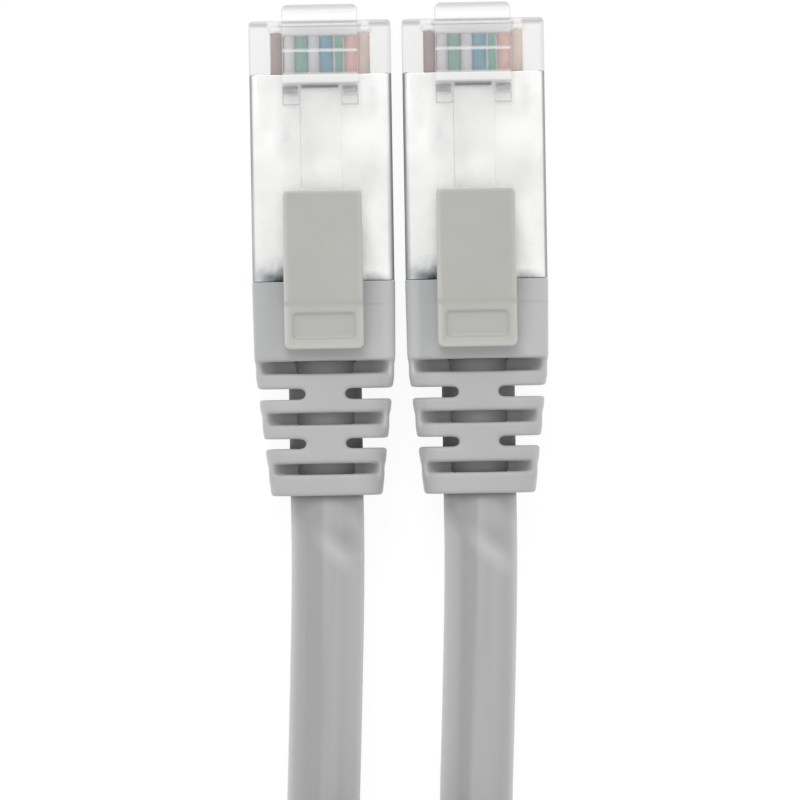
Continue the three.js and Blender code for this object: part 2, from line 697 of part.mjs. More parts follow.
const FREE_LEFT = [
  [-6.29, -24.5, 3.95],
  [-6.38, -29, 3.75],
  [-6.55, -34, 3.4],
  [-6.78, -40, 3.1],
  [-7, -45.3, 3],
  [-7.3, -51, 3],
  [-7.9, -58, 3],
  [-8.9, -66, 3.05],
  [-10.2, -75, 3.3],
  [-11.2, -82, 3.8],
  [-11.8, -87, 4.05],
];
const FREE_RIGHT = [
  [6.29, -24.5, 3.95],
  [6.2, -29, 3.75],
  [6.03, -34, 3.4],
  [5.8, -40, 3.1],
  [5.58, -45.3, 3],
  [5.5, -51, 3],
  [5.6, -56, 3.1],
  [6.1, -62, 3.6],
  [7.2, -69, 4.9],
  [8.7, -76, 6.8],
  [10.3, -82.5, 9],
  [11.5, -87.5, 10.3],
];
const LEAD_STEPS = 12;
const LEAD_SIDES = 12;
const TIE_LIFT = TIE_THICKNESS + TIE_CLEARANCE;

function hankRadius(turn) {
  return HANK_FOLD_RADIUS + HANK_STRAND_PITCH * Math.min(turn, HANK_TURNS - turn);
}

// Where a turn is on its loop: down the left run, round the lower fold, up the right run, round the upper fold
function hankPlan(turn) {
  const share = turn - Math.floor(turn);
  const radius = hankRadius(turn);
  const half = HANK_RUN / 2;
  if (share > 0.125 && share < 0.375) {
    const angle = Math.PI * (1 + (share - 0.125) / 0.25);
    return [radius * Math.cos(angle), radius * Math.sin(angle) - half];
  }
  if (share > 0.625 && share < 0.875) {
    const angle = Math.PI * ((share - 0.625) / 0.25);
    return [radius * Math.cos(angle), radius * Math.sin(angle) + half];
  }
  const left = share <= 0.125 || share >= 0.875;
  const along = left ? -((share + 0.5) % 1) + 0.5 : share - 0.5;
  const y = (along / 0.125) * half;
  const drawn = radius - HANK_WAIST_DRAW * Math.cos((Math.PI * y) / HANK_RUN) ** 2;
  return [left ? -drawn : drawn, y];
}

function hankPoint(turn) {
  const [x, y] = hankPlan(turn);
  const climb = HANK_LAYER_PITCH * smooth(turn, HANK_TURNS / 2 - 0.25, HANK_TURNS / 2 + 0.25);
  const crossing = HANK_CROSSING_LIFT * smooth(y, 0, HANK_RUN / 2);
  const waist = Math.abs(y) < HANK_RUN / 2 ? Math.cos((Math.PI * y) / HANK_RUN) ** 2 : 0;
  const z = CABLE_RADIUS + climb + crossing + TIE_LIFT * waist;
  return new THREE.Vector3(x, HANK_WAIST_Y + y, z);
}

function hankPoints() {
  const steps = HANK_TURNS * HANK_STEPS_PER_TURN;
  const points = Array.from({ length: steps + 1 }, (_, i) => hankPoint((i / steps) * HANK_TURNS));
  const straight = new THREE.Vector3(0, CABLE_DIAMETER, 0);
  points.unshift(points[0].clone().add(straight));
  points.push(points[points.length - 1].clone().add(straight));
  return points;
}

function tubeRing(points, i, radius, sides) {
  const before = points[Math.max(i - 1, 0)];
  const after = points[Math.min(i + 1, points.length - 1)];
  const tangent = after.clone().sub(before).normalize();
  const across = tangent.clone().cross(Z).normalize();
  const down = tangent.clone().cross(across);
  return Array.from({ length: sides }, (_, k) => {
    const angle = (2 * Math.PI * k) / sides;
    return points[i]
      .clone()
      .addScaledVector(across, radius * Math.cos(angle))
      .addScaledVector(down, radius * Math.sin(angle));
  });
}

function cableHank() {
  const points = hankPoints();
  return solidOf(bodyOfRings(points.map((_, i) => tubeRing(points, i, CABLE_RADIUS, 6))));
}

// The least clear distance between stretches of the hank that aren't next to each other on the cable
function leastGap(points) {
  const curve = new THREE.CatmullRomCurve3(points);
  const samples = curve.getSpacedPoints(600);
  const spacing = curve.getLength() / 600;
  const apart = Math.ceil((4 * CABLE_DIAMETER) / spacing);
  let least = Infinity;
  for (let i = 0; i < samples.length; i += 1) {
    for (let j = i + apart; j < samples.length; j += 1) {
      least = Math.min(least, samples[i].distanceTo(samples[j]));
    }
  }
  return least - CABLE_DIAMETER;
}

function leadCurve(side, route) {
  const hankEnds = hankPoints();
  const exit = new THREE.Vector3((side * PLUG_PITCH) / 2, FRONT_Y - BOOT_END - BUTT_CLEARANCE, AXIS_Z);
  const end = (side < 0 ? hankEnds[0] : hankEnds[hankEnds.length - 1]).clone();
  end.y += BUTT_CLEARANCE;
  const approach = end.clone();
  approach.y += CABLE_RADIUS;
  const between = route.map(([x, y, z]) => new THREE.Vector3(x, y, z));
  return new THREE.CatmullRomCurve3([exit, ...between, approach, end]);
}

function cableLead(side, route) {
  const section = polygon(
    Array.from({ length: LEAD_SIDES }, (_, i) => {
      const angle = (2 * Math.PI * (i + 0.5)) / LEAD_SIDES;
      return [CABLE_RADIUS * Math.cos(angle), CABLE_RADIUS * Math.sin(angle)];
    }),
  );
  const tube = new THREE.ExtrudeGeometry(section, {
    steps: LEAD_STEPS,
    extrudePath: leadCurve(side, route),
    bevelEnabled: false,
  });
  return solidOf(tube);
}

// Where the strands enter and leave a strap of the given width round the waist
function strandsAtWaist(width) {
  const points = hankPoints();
  const crossings = [HANK_WAIST_Y - width / 2, HANK_WAIST_Y + width / 2].flatMap((y) =>
    points.slice(1).map((point, i) => {
      const share = (y - points[i].y) / (point.y - points[i].y);
      return share >= 0 && share <= 1 ? points[i].clone().lerp(point, share) : null;
    }),
  );
  return crossings.filter(Boolean);
}

// A strap round the waist, with flat sides and round corners
function hankTie() {
  const strands = strandsAtWaist(TIE_WIDTH);
  const halfWidth = Math.max(...strands.map((point) => Math.abs(point.x))) + CABLE_RADIUS + TIE_CLEARANCE;
  const top = Math.max(...strands.map((point) => point.z)) + CABLE_RADIUS + TIE_CLEARANCE + TIE_THICKNESS;
  const outer = roundedRectangle(2 * (halfWidth + TIE_THICKNESS), top, TIE_CORNER_RADIUS);
  const innerRadius = TIE_CORNER_RADIUS - TIE_THICKNESS;
  outer.holes.push(roundedRectangle(2 * halfWidth, top - 2 * TIE_THICKNESS, innerRadius));
  const start = -HANK_WAIST_Y - TIE_WIDTH / 2;
  return solidOf(alongY(outer, start, start + TIE_WIDTH).translate(0, 0, top / 2));
}

// ---- Colours ----

const CLEAR = { color: 0xf0f0ee, roughness: 0.1, metalness: 0 };
const STEEL = { color: 0xd9d9d6, roughness: 0.3, metalness: 1 };
const GOLD = { color: 0xd8b25a, roughness: 0.25, metalness: 1 };
const BRAID = { color: 0xb8a898, roughness: 0.5, metalness: 1 };
const BOOT = { color: 0xb9b9b6, roughness: 0.6, metalness: 0 };
const GUARD = { color: 0xb7b8b1, roughness: 0.6, metalness: 0 };
const CABLE = { color: 0xa9a9a8, roughness: 0.6, metalness: 0 };
const STRAP = { color: 0x3a3a3a, roughness: 0.9, metalness: 0 };
const WIRE_COLOURS = [0x8a5a48, 0xe2dcd8, 0x3f8f68, 0xd8d8e4, 0x2f78b0, 0xd4e4d8, 0xe08850, 0xecd8c8];

function piece(name, solid, look) {
  const mesh = new THREE.Mesh(geometryOf(solid), new THREE.MeshStandardMaterial(look));
  mesh.name = name;
  return mesh;
}

function contactRow(prefix) {
  const row = new THREE.Group();
  for (let way = 0; way < WAYS; way += 1) {
    const blade = piece(`${prefix}_contact_${way + 1}`, contact(), GOLD);
    blade.position.x = wayX(way);
    row.add(blade);
  }
  return row;
}

function plugEnd(prefix, side) {
  const group = new THREE.Group();
  group.position.set((side * PLUG_PITCH) / 2, FRONT_Y, AXIS_Z);
  group.add(
    piece(`${prefix}_housing`, housing(), CLEAR),
    piece(`${prefix}_latch`, latch(), CLEAR),
    piece(`${prefix}_shield`, shield(), STEEL),
    piece(`${prefix}_wire_comb`, wireComb(), CLEAR),
    piece(`${prefix}_jacket_end`, jacketEnd(), CABLE),
    piece(`${prefix}_braid`, braid(), BRAID),
    piece(`${prefix}_boot`, boot(), BOOT),
    piece(`${prefix}_latch_guard`, guard(), GUARD),
    contactRow(prefix),
  );
  WIRE_COLOURS.forEach((color, way) => {
    group.add(piece(`${prefix}_wire_${way + 1}`, wire(way), { color, roughness: 0.5, metalness: 0 }));
  });
  return group;
}

const group = new THREE.Group();
group.name = 'ethernet_patch_cable';
group.add(
  plugEnd('left', -1),
  plugEnd('right', 1),
  piece('cable_lead_left', cableLead(-1, FREE_LEFT), CABLE),
  piece('cable_lead_right', cableLead(1, FREE_RIGHT), CABLE),
  piece('cable_hank', cableHank(), CABLE),
  piece('hank_tie', hankTie(), STRAP),
);

const hankLength = new THREE.CatmullRomCurve3(hankPoints()).getLength();
const leadLengths = leadCurve(-1, FREE_LEFT).getLength() + leadCurve(1, FREE_RIGHT).getLength();
console.log(`free cable between the boots: ${(hankLength + leadLengths + 2 * BUTT_CLEARANCE).toFixed(1)} mm`);
console.log(`least gap of the hank to itself: ${leastGap(hankPoints()).toFixed(2)} mm`);

export default group;
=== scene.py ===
import math

import bmesh
import bpy
from bpy.props import FloatProperty, FloatVectorProperty, PointerProperty
from mathutils import Matrix, Vector


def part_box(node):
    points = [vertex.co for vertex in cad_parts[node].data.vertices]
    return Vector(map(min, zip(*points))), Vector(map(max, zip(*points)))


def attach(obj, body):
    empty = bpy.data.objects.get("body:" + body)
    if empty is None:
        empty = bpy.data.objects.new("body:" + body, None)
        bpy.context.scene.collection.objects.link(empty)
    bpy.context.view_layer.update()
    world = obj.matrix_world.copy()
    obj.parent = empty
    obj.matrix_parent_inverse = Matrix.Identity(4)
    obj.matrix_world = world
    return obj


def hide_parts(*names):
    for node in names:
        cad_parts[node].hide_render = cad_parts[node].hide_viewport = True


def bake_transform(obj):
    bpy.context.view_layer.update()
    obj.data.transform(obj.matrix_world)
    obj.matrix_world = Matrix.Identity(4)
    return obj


bl_info = {
    "name": "Ethernet Patch Cable",
    "version": (1, 0, 0),
    "blender": (4, 5, 0),
    "location": "3D Viewport > Sidebar > Patch Cable",
    "description": "Builds the looks of a shielded ethernet patch cable around its packed CAD model",
    "category": "Object",
}

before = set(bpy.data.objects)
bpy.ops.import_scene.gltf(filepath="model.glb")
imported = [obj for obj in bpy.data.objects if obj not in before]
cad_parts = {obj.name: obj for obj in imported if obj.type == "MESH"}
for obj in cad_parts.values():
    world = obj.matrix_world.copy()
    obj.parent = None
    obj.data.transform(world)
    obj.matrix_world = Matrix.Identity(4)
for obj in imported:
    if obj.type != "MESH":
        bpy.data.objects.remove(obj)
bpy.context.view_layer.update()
TIE_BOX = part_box("hank_tie")

# Shapes of the plugs are drawn in millimetres: distances run backwards from the housing's front face,
# and heights are above the cable's axis.
MM = 0.001
SIDES = {"left": -1, "right": 1}
HALF_PITCH = 6.29
FRONT_Y = 18.865
AXIS_Z = 4.0
PLUG_WIDTH = 11.7
PLUG_TOP = 3.3
PLUG_LENGTH = 21.48
BOOT_TOP = 4.0
BOOT_LENGTH = 17.57
BOOT_END = PLUG_LENGTH + BOOT_LENGTH
SHELL_START = 4.44
SHELL_END = 21.42
SHEET = 0.25
WAYS = 8
CONTACT_PITCH = 1.02
WIRE_RADIUS = 0.51
WIRE_LEVEL = 0.8
JACKET_START = 17.0
CRIMP_START = 22.7
CRIMP_END = 26.5
GUARD_WIDTH = 6.5
GUARD_HINGE = 23.35
GUARD_HINGE_Z = 5.8
GUARD_SLOPE = math.radians(15.9)
LATCH_WIDTH = 6.25
LATCH_SLOPE = math.radians(10)
NOSE_AXIS = (-0.54, 2.85)
NOSE_RADIUS = 0.78

# The cord's route, in metres, from the left boot to the hank and from the right boot to the hank
LEFT_ROUTE = [
    (-0.00629, -0.020485, 0.004),
    (-0.00629, -0.0245, 0.00395),
    (-0.00638, -0.029, 0.00375),
    (-0.00655, -0.034, 0.0034),
    (-0.00678, -0.04, 0.0031),
    (-0.007, -0.0453, 0.003),
    (-0.0073, -0.051, 0.003),
    (-0.0079, -0.058, 0.003),
    (-0.0089, -0.066, 0.00305),
    (-0.0102, -0.075, 0.0033),
    (-0.0112, -0.082, 0.0038),
    (-0.0118, -0.087, 0.00405),
    (-0.012, -0.09195, 0.00415),
]
RIGHT_ROUTE = [
    (0.00629, -0.020485, 0.004),
    (0.00629, -0.0245, 0.00395),
    (0.0062, -0.029, 0.00375),
    (0.00603, -0.034, 0.0034),
    (0.0058, -0.04, 0.0031),
    (0.00558, -0.0453, 0.003),
    (0.0055, -0.051, 0.003),
    (0.0056, -0.056, 0.0031),
    (0.0061, -0.062, 0.0036),
    (0.0072, -0.069, 0.0049),
    (0.0087, -0.076, 0.0068),
    (0.0103, -0.0825, 0.009),
    (0.0115, -0.0875, 0.0103),
    (0.012, -0.09195, 0.01065),
]
HANK_TURNS = 1.5
HANK_STEPS_PER_TURN = 72
HANK_WAIST_Y = -0.10125
HANK_RUN = 0.056
HANK_FOLD_RADIUS = 0.018
HANK_STRAND_PITCH = 0.007
HANK_LAYER_PITCH = 0.0065
HANK_WAIST_DRAW = 0.006
HANK_CROSSING_LIFT = 0.0038
TIE_LIFT = 0.00115
HANK_STRAIGHT = 0.006
CORD_LENGTH = 0.5326
CORD_RADIUS = 0.003

# Painted shade for clear plastic where it is seen edge on
EDGE_ON_SHADE = (0.42, 0.425, 0.43)

# Points of a shape that are closer than this, in millimetres, count as one
NEAR = 1e-4


# ---- Settings ----


def size(name, description, default):
    return FloatProperty(
        name=name, description=description, default=default, min=0.0, unit="LENGTH", precision=5
    )


def colour(name, description, default):
    return FloatVectorProperty(
        name=name,
        description=description,
        default=default,
        min=0.0,
        max=1.0,
        size=3,
        subtype="COLOR",
    )


class PlugSettings(bpy.types.PropertyGroup):
    """Sizes and colours of the plugs."""

    shell_corner: size("Shell Corner", "Radius of the shell's long corners", 0.0006)
    edge: size("Edge", "Radius on the clear parts' small edges", 0.00012)
    shell_colour: colour("Shell", "Metal of the shell", (0.915, 0.915, 0.905))
    clear_colour: colour("Clear Plastic", "Haze of the clear housing", (0.6, 0.605, 0.6))
    latch_colour: colour("Clear Latch", "Haze of the clear latch", (0.88, 0.885, 0.88))
    gold_colour: colour("Contacts", "Plating of the contacts", (0.9, 0.66, 0.27))
    brown: colour("Brown Pair", "Colour of the brown pair", (0.38, 0.22, 0.22))
    green: colour("Green Pair", "Colour of the green pair", (0.05, 0.39, 0.27))
    blue: colour("Blue Pair", "Colour of the blue pair", (0.0, 0.345, 0.53))
    orange: colour("Orange Pair", "Colour of the orange pair", (0.93, 0.46, 0.37))
    white: colour("White Insulation", "White of the striped wires", (0.93, 0.9, 0.96))


class BootSettings(bpy.types.PropertyGroup):
    """Sizes and colours of the boots and of the guards over the latches."""

    edge: size("Edge", "Radius on the boot's edges", 0.0003)
    guard_edge: size("Guard Edge", "Radius on the guard's edges", 0.00028)
    boot_colour: colour("Boot", "Moulded plastic of the boot", (0.455, 0.46, 0.458))
    guard_colour: colour("Guard", "Moulded plastic of the guard", (0.462, 0.466, 0.435))


class CordSettings(bpy.types.PropertyGroup):
    """Sizes and colours of the cable and its tie."""

    diameter: size("Diameter", "Outside diameter of the jacket", 0.006)
    jacket_colour: colour("Jacket", "Plastic of the jacket", (0.4, 0.402, 0.402))
    tie_colour: colour("Tie", "Woven tie round the hank", (0.035, 0.036, 0.04))


class StageSettings(bpy.types.PropertyGroup):
    """The floor, the light and the camera."""

    floor_colour: colour("Floor", "Colour of the floor", (0.97, 0.97, 0.97))
    lamp_power: FloatProperty(
        name="Lamp", description="Power of the soft lamp", default=9.0, min=0.0, unit="POWER"
    )
    view_width: size("View Width", "Width that the picture covers", 0.06584)


class PatchCableSettings(bpy.types.PropertyGroup):
    """All settings of the patch cable."""

    plug: PointerProperty(type=PlugSettings)
    boot: PointerProperty(type=BootSettings)
    cord: PointerProperty(type=CordSettings)
    stage: PointerProperty(type=StageSettings)


# ---- Shapes ----


def block(width, front, rear, bottom, top, centre=0.0):
    """A box between two distances behind the front face."""
    bm = bmesh.new()
    bmesh.ops.create_cube(bm, size=1)
    bmesh.ops.scale(bm, vec=(width, rear - front, top - bottom), verts=bm.verts)
    middle = (centre, -(front + rear) / 2, (bottom + top) / 2)
    bmesh.ops.translate(bm, vec=middle, verts=bm.verts)
    return bm


def edges_along(bm, axis):
    """The edges that run along an axis, 0 for x, 1 for y and 2 for z."""

    def runs_along(edge):
        return abs((edge.verts[1].co - edge.verts[0].co).normalized()[axis]) > 0.99

    return [edge for edge in bm.edges if runs_along(edge)]


def edges_at(bm, distance):
    """The edges that lie at one distance behind the front face."""

    def lies_there(edge):
        return all(abs(vert.co.y + distance) < NEAR for vert in edge.verts)

    return [edge for edge in bm.edges if lies_there(edge)]


def round_over(bm, edges, radius, segments=4):
    bmesh.ops.bevel(
        bm,
        geom=edges,
        offset=radius,
        offset_type="OFFSET",
        affect="EDGES",
        segments=segments,
        profile=0.5,
        material=-1,
        clamp_overlap=True,
    )
    return bm


def taper(bm, distance, across, up=1.0):
    """Narrows the end of a shape that lies at one distance."""
    end = [vert for vert in bm.verts if abs(vert.co.y + distance) < NEAR]
    bmesh.ops.scale(bm, vec=(across, 1, up), verts=end)


def round_block(width, height, front, rear, radius):
    """A box along the plug's middle, with its long edges rounded."""
    bm = block(width, front, rear, -height / 2, height / 2)
    return round_over(bm, edges_along(bm, 1), radius)


def pushed(corners, way):
    """A flat outline pushed out into a solid."""
    bm = bmesh.new()
    face = bm.faces.new([bm.verts.new(corner) for corner in corners])
    parts = bmesh.ops.extrude_face_region(bm, geom=[face])["geom"]
    moved = [part for part in parts if isinstance(part, bmesh.types.BMVert)]
    bmesh.ops.translate(bm, vec=way, verts=moved)
    bmesh.ops.recalc_face_normals(bm, faces=bm.faces)
    return bm


def slab(outline, width, centre=0.0):
    """A side outline, given as distances and heights, pushed across the plug."""
    near = centre - width / 2
    return pushed([(near, -distance, height) for distance, height in outline], (width, 0, 0))


def bar(outline, front, rear):
    """An outline across the plug, given as x and height, pushed along it."""
    return pushed([(x, -front, height) for x, height in outline], (0, front - rear, 0))


def rod(radius, length, axis, centre, segments=40):
    """A cylinder along x or y, centred on a point given as x, distance and height."""
    x, distance, height = centre
    turn = Matrix.Rotation(math.pi / 2, 4, {"x": "Y", "y": "X"}[axis])
    bm = bmesh.new()
    bmesh.ops.create_cone(
        bm,
        cap_ends=True,
        cap_tris=False,
        segments=segments,
        radius1=radius,
        radius2=radius,
        depth=length,
        matrix=Matrix.Translation((x, -distance, height)) @ turn,
    )
    return bm


def core(radius, front, rear, segments=40):
    """A cylinder on the plug's axis, between two distances."""
    return rod(radius, rear - front, "y", (0, (front + rear) / 2, 0), segments)


def as_object(bm, name):
    """Turns a shape into an object of the scene."""
    mesh = bpy.data.meshes.new(name)
    bm.to_mesh(mesh)
    bm.free()
    made = bpy.data.objects.new(name, mesh)
    bpy.context.scene.collection.objects.link(made)
    return made


def finished(holder, *others):
    """The shape that a passing object has after its modifiers. It and the others are then thrown away."""
    result = bmesh.new()
    result.from_object(holder, bpy.context.evaluated_depsgraph_get())
    for spent in (holder, *others):
        mesh = spent.data
        bpy.data.objects.remove(spent)
        bpy.data.meshes.remove(mesh)
    return result


def combined(base, others, operation):
    """The first shape after the others are joined to it or cut from it."""
    holder, *others = (as_object(bm, "shape") for bm in (base, *others))
    for other in others:
        step = holder.modifiers.new("step", "BOOLEAN")
        step.operation = operation
        step.solver = "EXACT"
        step.object = other
    result = finished(holder, *others)
    bmesh.ops.remove_doubles(result, verts=result.verts, dist=NEAR)
    return result


def joined(base, *others):
    return combined(base, others, "UNION")


def cut(base, *others):
    return combined(base, others, "DIFFERENCE")


def within(base, other):
    return combined(base, [other], "INTERSECT")


def moulded(bm, cell, rounds):
    """The shape as a mould leaves it, with all its edges rounded."""
    holder = as_object(bm, "shape")
    fine = holder.modifiers.new("fine", "REMESH")
    fine.mode = "VOXEL"
    fine.voxel_size = cell
    result = finished(holder)
    for _ in range(rounds):
        bmesh.ops.smooth_vert(
            result, verts=result.verts, factor=0.5, use_axis_x=True, use_axis_y=True, use_axis_z=True
        )
    return result


def trimmed(bm, distance):
    """The shape with what lies ahead of a distance cut off, and a flat face there."""
    geom = [*bm.verts, *bm.edges, *bm.faces]
    sliced = bmesh.ops.bisect_plane(
        bm, geom=geom, dist=1e-5, plane_co=(0, -distance, 0), plane_no=(0, 1, 0), clear_outer=True
    )
    rim = [part for part in sliced["geom_cut"] if isinstance(part, bmesh.types.BMEdge)]
    bmesh.ops.triangle_fill(bm, use_beauty=True, use_dissolve=False, edges=rim, normal=(0, 1, 0))
    bmesh.ops.recalc_face_normals(bm, faces=bm.faces)
    return bm


def smooth_route(points, step):
    """A smooth line through the points, as points at most a step apart."""
    ends = [2 * points[0] - points[1], *points, 2 * points[-1] - points[-2]]
    line = []
    for before, start, end, after in zip(ends, ends[1:], ends[2:], ends[3:]):
        knots = [0.0]
        for a, b in ((before, start), (start, end), (end, after)):
            knots.append(knots[-1] + max((b - a).length ** 0.5, 1e-9))
        lean_start = ((end - before) / (knots[2] - knots[0])) * (knots[2] - knots[1])
        lean_end = ((after - start) / (knots[3] - knots[1])) * (knots[2] - knots[1])
        steps = max(1, math.ceil((end - start).length / step))
        for i in range(steps):
            t = i / steps
            line.append(
                start * (2 * t**3 - 3 * t**2 + 1)
                + lean_start * (t**3 - 2 * t**2 + t)
                + end * (3 * t**2 - 2 * t**3)
                + lean_end * (t**3 - t**2)
            )
    return [*line, points[-1]]


def tube(line, radius, sides, sections=None):
    """A closed tube along a line, with given half widths and half heights if it isn't round. Its "skin"
    attribute holds where a point is, round the tube and along it."""
    bm = bmesh.new()
    skin = bm.verts.layers.float_vector.new("skin")
    across = None
    along = 0.0
    rings = []
    for i, point in enumerate(line):
        heading = (line[min(i + 1, len(line) - 1)] - line[max(i - 1, 0)]).normalized()
        if across is None:
            across = heading.cross(Vector((0, 0, 1)))
        across = (across - heading * across.dot(heading)).normalized()
        up = across.cross(heading)
        along += (point - line[i - 1]).length if i else 0.0
        wide, tall = sections[i] if sections else (radius, radius)
        ring = []
        for k in range(sides):
            angle = 2 * math.pi * k / sides
            aside, above = math.cos(angle), math.sin(angle)
            vert = bm.verts.new(point + across * wide * aside + up * tall * above)
            vert[skin] = (aside, above, along / radius)
            ring.append(vert)
        rings.append(ring)
    for ring, following in zip(rings, rings[1:]):
        for k in range(sides):
            n = (k + 1) % sides
            bm.faces.new((ring[k], ring[n], following[n], following[k]))
    bm.faces.new(reversed(rings[0]))
    bm.faces.new(rings[-1])
    bmesh.ops.recalc_face_normals(bm, faces=bm.faces)
    return bm


def eased(value, start, end):
    t = min(max((value - start) / (end - start), 0.0), 1.0)
    return t * t * (3 - 2 * t)


def hank_point(turn):
    """A point of the hank, which starts halfway along its left run. Each turn is an eighth of that run, a
    quarter for the lower fold, a quarter for the right run, a quarter for the upper fold, and an eighth
    of the left run again."""
    share = turn % 1
    half = HANK_RUN / 2
    radius = HANK_FOLD_RADIUS + HANK_STRAND_PITCH * min(turn, HANK_TURNS - turn)
    if 0.125 < share < 0.375:
        angle = math.pi * (1 + (share - 0.125) / 0.25)
        x, y = radius * math.cos(angle), radius * math.sin(angle) - half
    elif 0.625 < share < 0.875:
        angle = math.pi * (share - 0.625) / 0.25
        x, y = radius * math.cos(angle), radius * math.sin(angle) + half
    else:
        left = share <= 0.125 or share >= 0.875
        along = 0.5 - (share + 0.5) % 1 if left else share - 0.5
        y = along / 0.125 * half
        drawn = radius - HANK_WAIST_DRAW * math.cos(math.pi * y / HANK_RUN) ** 2
        x = -drawn if left else drawn
    climb = HANK_LAYER_PITCH * eased(turn, HANK_TURNS / 2 - 0.25, HANK_TURNS / 2 + 0.25)
    crossing = HANK_CROSSING_LIFT * eased(y, 0.0, half)
    waist = math.cos(math.pi * y / HANK_RUN) ** 2 if abs(y) < half else 0.0
    return Vector((x, HANK_WAIST_Y + y, CORD_RADIUS + climb + crossing + TIE_LIFT * waist))


def way_x(way):
    """How far to the side one of the eight ways lies."""
    return (way - (WAYS - 1) / 2) * CONTACT_PITCH


# ---- Pieces ----


def plug_place(side):
    """From a plug's own millimetres to the model's metres."""
    return Matrix.Scale(MM, 4) @ Matrix.Translation((SIDES[side] * HALF_PITCH, FRONT_Y, AXIS_Z))


def add_piece(name, bm, place, material, nodes, body="cable"):
    """Makes a finished piece of a shape, with its place in its mesh."""
    bm.transform(place)
    piece = as_object(bm, name)
    piece.data.materials.append(material)
    piece.data.shade_smooth()
    if body:
        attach(piece, body)
    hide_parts(*nodes)
    return piece


def add_pair(label, node, shape, material, body="cable"):
    """Makes a finished piece on each plug, from a function that gives its shape."""
    pair = {}
    for side in SIDES:
        nodes = [f"{side}_{node}"]
        pair[side] = add_piece(f"{side}_{label}", shape(), plug_place(side), material, nodes, body)
    return pair


def thicken(piece, thickness):
    """Gives a piece of sheet its thickness, inwards."""
    wall = piece.modifiers.new("Wall", "SOLIDIFY")
    wall.thickness = thickness
    wall.offset = -1
    wall.use_even_offset = True


def ease_edges(piece, radius, angle=32):
    """Rounds a piece's sharp edges and shades it smoothly."""
    edges = piece.modifiers.new("Edges", "BEVEL")
    edges.width = radius
    edges.segments = 2
    edges.limit_method = "ANGLE"
    edges.angle_limit = math.radians(angle)
    edges.use_clamp_overlap = True
    shading = piece.modifiers.new("Shading", "WEIGHTED_NORMAL")
    shading.weight = 80
    shading.keep_sharp = False


# ---- Materials ----


def set_inputs(node, inputs):
    """Links a node's inputs, or sets their values."""
    for name, value in inputs.items():
        if isinstance(value, bpy.types.NodeSocket):
            node.id_data.links.new(value, node.inputs[name])
        else:
            node.inputs[name].default_value = value


def add_node(tree, kind, inputs=None, **settings):
    """Adds a node, sets it up, and links or sets its inputs."""
    made = tree.nodes.new(kind)
    for name, value in settings.items():
        setattr(made, name, value)
    set_inputs(made, inputs or {})
    return made


def tree_of(*values):
    """The tree that holds the first socket among some values."""
    return next(value.id_data for value in values if isinstance(value, bpy.types.NodeSocket))


def maths(operation, *values, clamp=False):
    inputs = dict(enumerate(values))
    made = add_node(tree_of(*values), "ShaderNodeMath", inputs, operation=operation, use_clamp=clamp)
    return made.outputs[0]


def vector_maths(operation, *values):
    inputs = dict(enumerate(values))
    made = add_node(tree_of(*values), "ShaderNodeVectorMath", inputs, operation=operation)
    return made.outputs["Value" if operation == "LENGTH" else "Vector"]


def axes(vector):
    """The parts of a vector along each axis."""
    return add_node(vector.id_data, "ShaderNodeSeparateXYZ", {"Vector": vector}).outputs


def vector_of(x, y, z):
    return add_node(tree_of(x, y, z), "ShaderNodeCombineXYZ", {"X": x, "Y": y, "Z": z}).outputs["Vector"]


def spread(value, low, high, out_low=0.0, out_high=1.0):
    """Maps a value from one range to another."""
    inputs = {"Value": value, "From Min": low, "From Max": high, "To Min": out_low, "To Max": out_high}
    return add_node(value.id_data, "ShaderNodeMapRange", inputs).outputs["Result"]


def swing(texture, out_low=0.0, out_high=1.0):
    """Maps the middle of a noise's range, where most of it lies, to another range."""
    return spread(texture, 0.3, 0.7, out_low, out_high)


def mixed(share, first, second):
    """Mixes two colours."""
    inputs = {0: share, 6: first, 7: second}
    return add_node(tree_of(share, first, second), "ShaderNodeMix", inputs, data_type="RGBA").outputs[2]


def blended(share, first, second):
    """Mixes two numbers."""
    return add_node(share.id_data, "ShaderNodeMix", {0: share, 2: first, 3: second}).outputs[0]


def noise(vector, scale, detail=3.0, roughness=0.5):
    inputs = {"Vector": vector, "Scale": scale, "Detail": detail, "Roughness": roughness}
    return add_node(vector.id_data, "ShaderNodeTexNoise", inputs).outputs["Fac"]


def bump(height, strength, distance, under=None):
    inputs = {"Strength": strength, "Distance": distance, "Height": height}
    if under:
        inputs["Normal"] = under
    return add_node(height.id_data, "ShaderNodeBump", inputs).outputs["Normal"]


def opaque(rgb, share=1.0):
    return (*(min(1.0, part * share) for part in rgb), 1.0)


def new_group(name, inputs, outputs):
    """Starts a node group and returns it with its two ends."""
    group = bpy.data.node_groups.new(name, "ShaderNodeTree")
    for label, kind, default in inputs:
        socket = group.interface.new_socket(label, in_out="INPUT", socket_type=kind)
        if default is not None:
            socket.default_value = default
    for label, kind in outputs:
        group.interface.new_socket(label, in_out="OUTPUT", socket_type=kind)
    return group, group.nodes.new("NodeGroupInput"), group.nodes.new("NodeGroupOutput")


def seen_rays(tree):
    """One for what is seen directly, in a reflection or through glass, and none for what only lights the
    object."""
    path = tree.nodes.new("ShaderNodeLightPath")
    seen = maths("ADD", path.outputs["Is Camera Ray"], path.outputs["Is Glossy Ray"])
    return maths("ADD", seen, path.outputs["Is Transmission Ray"], clamp=True)


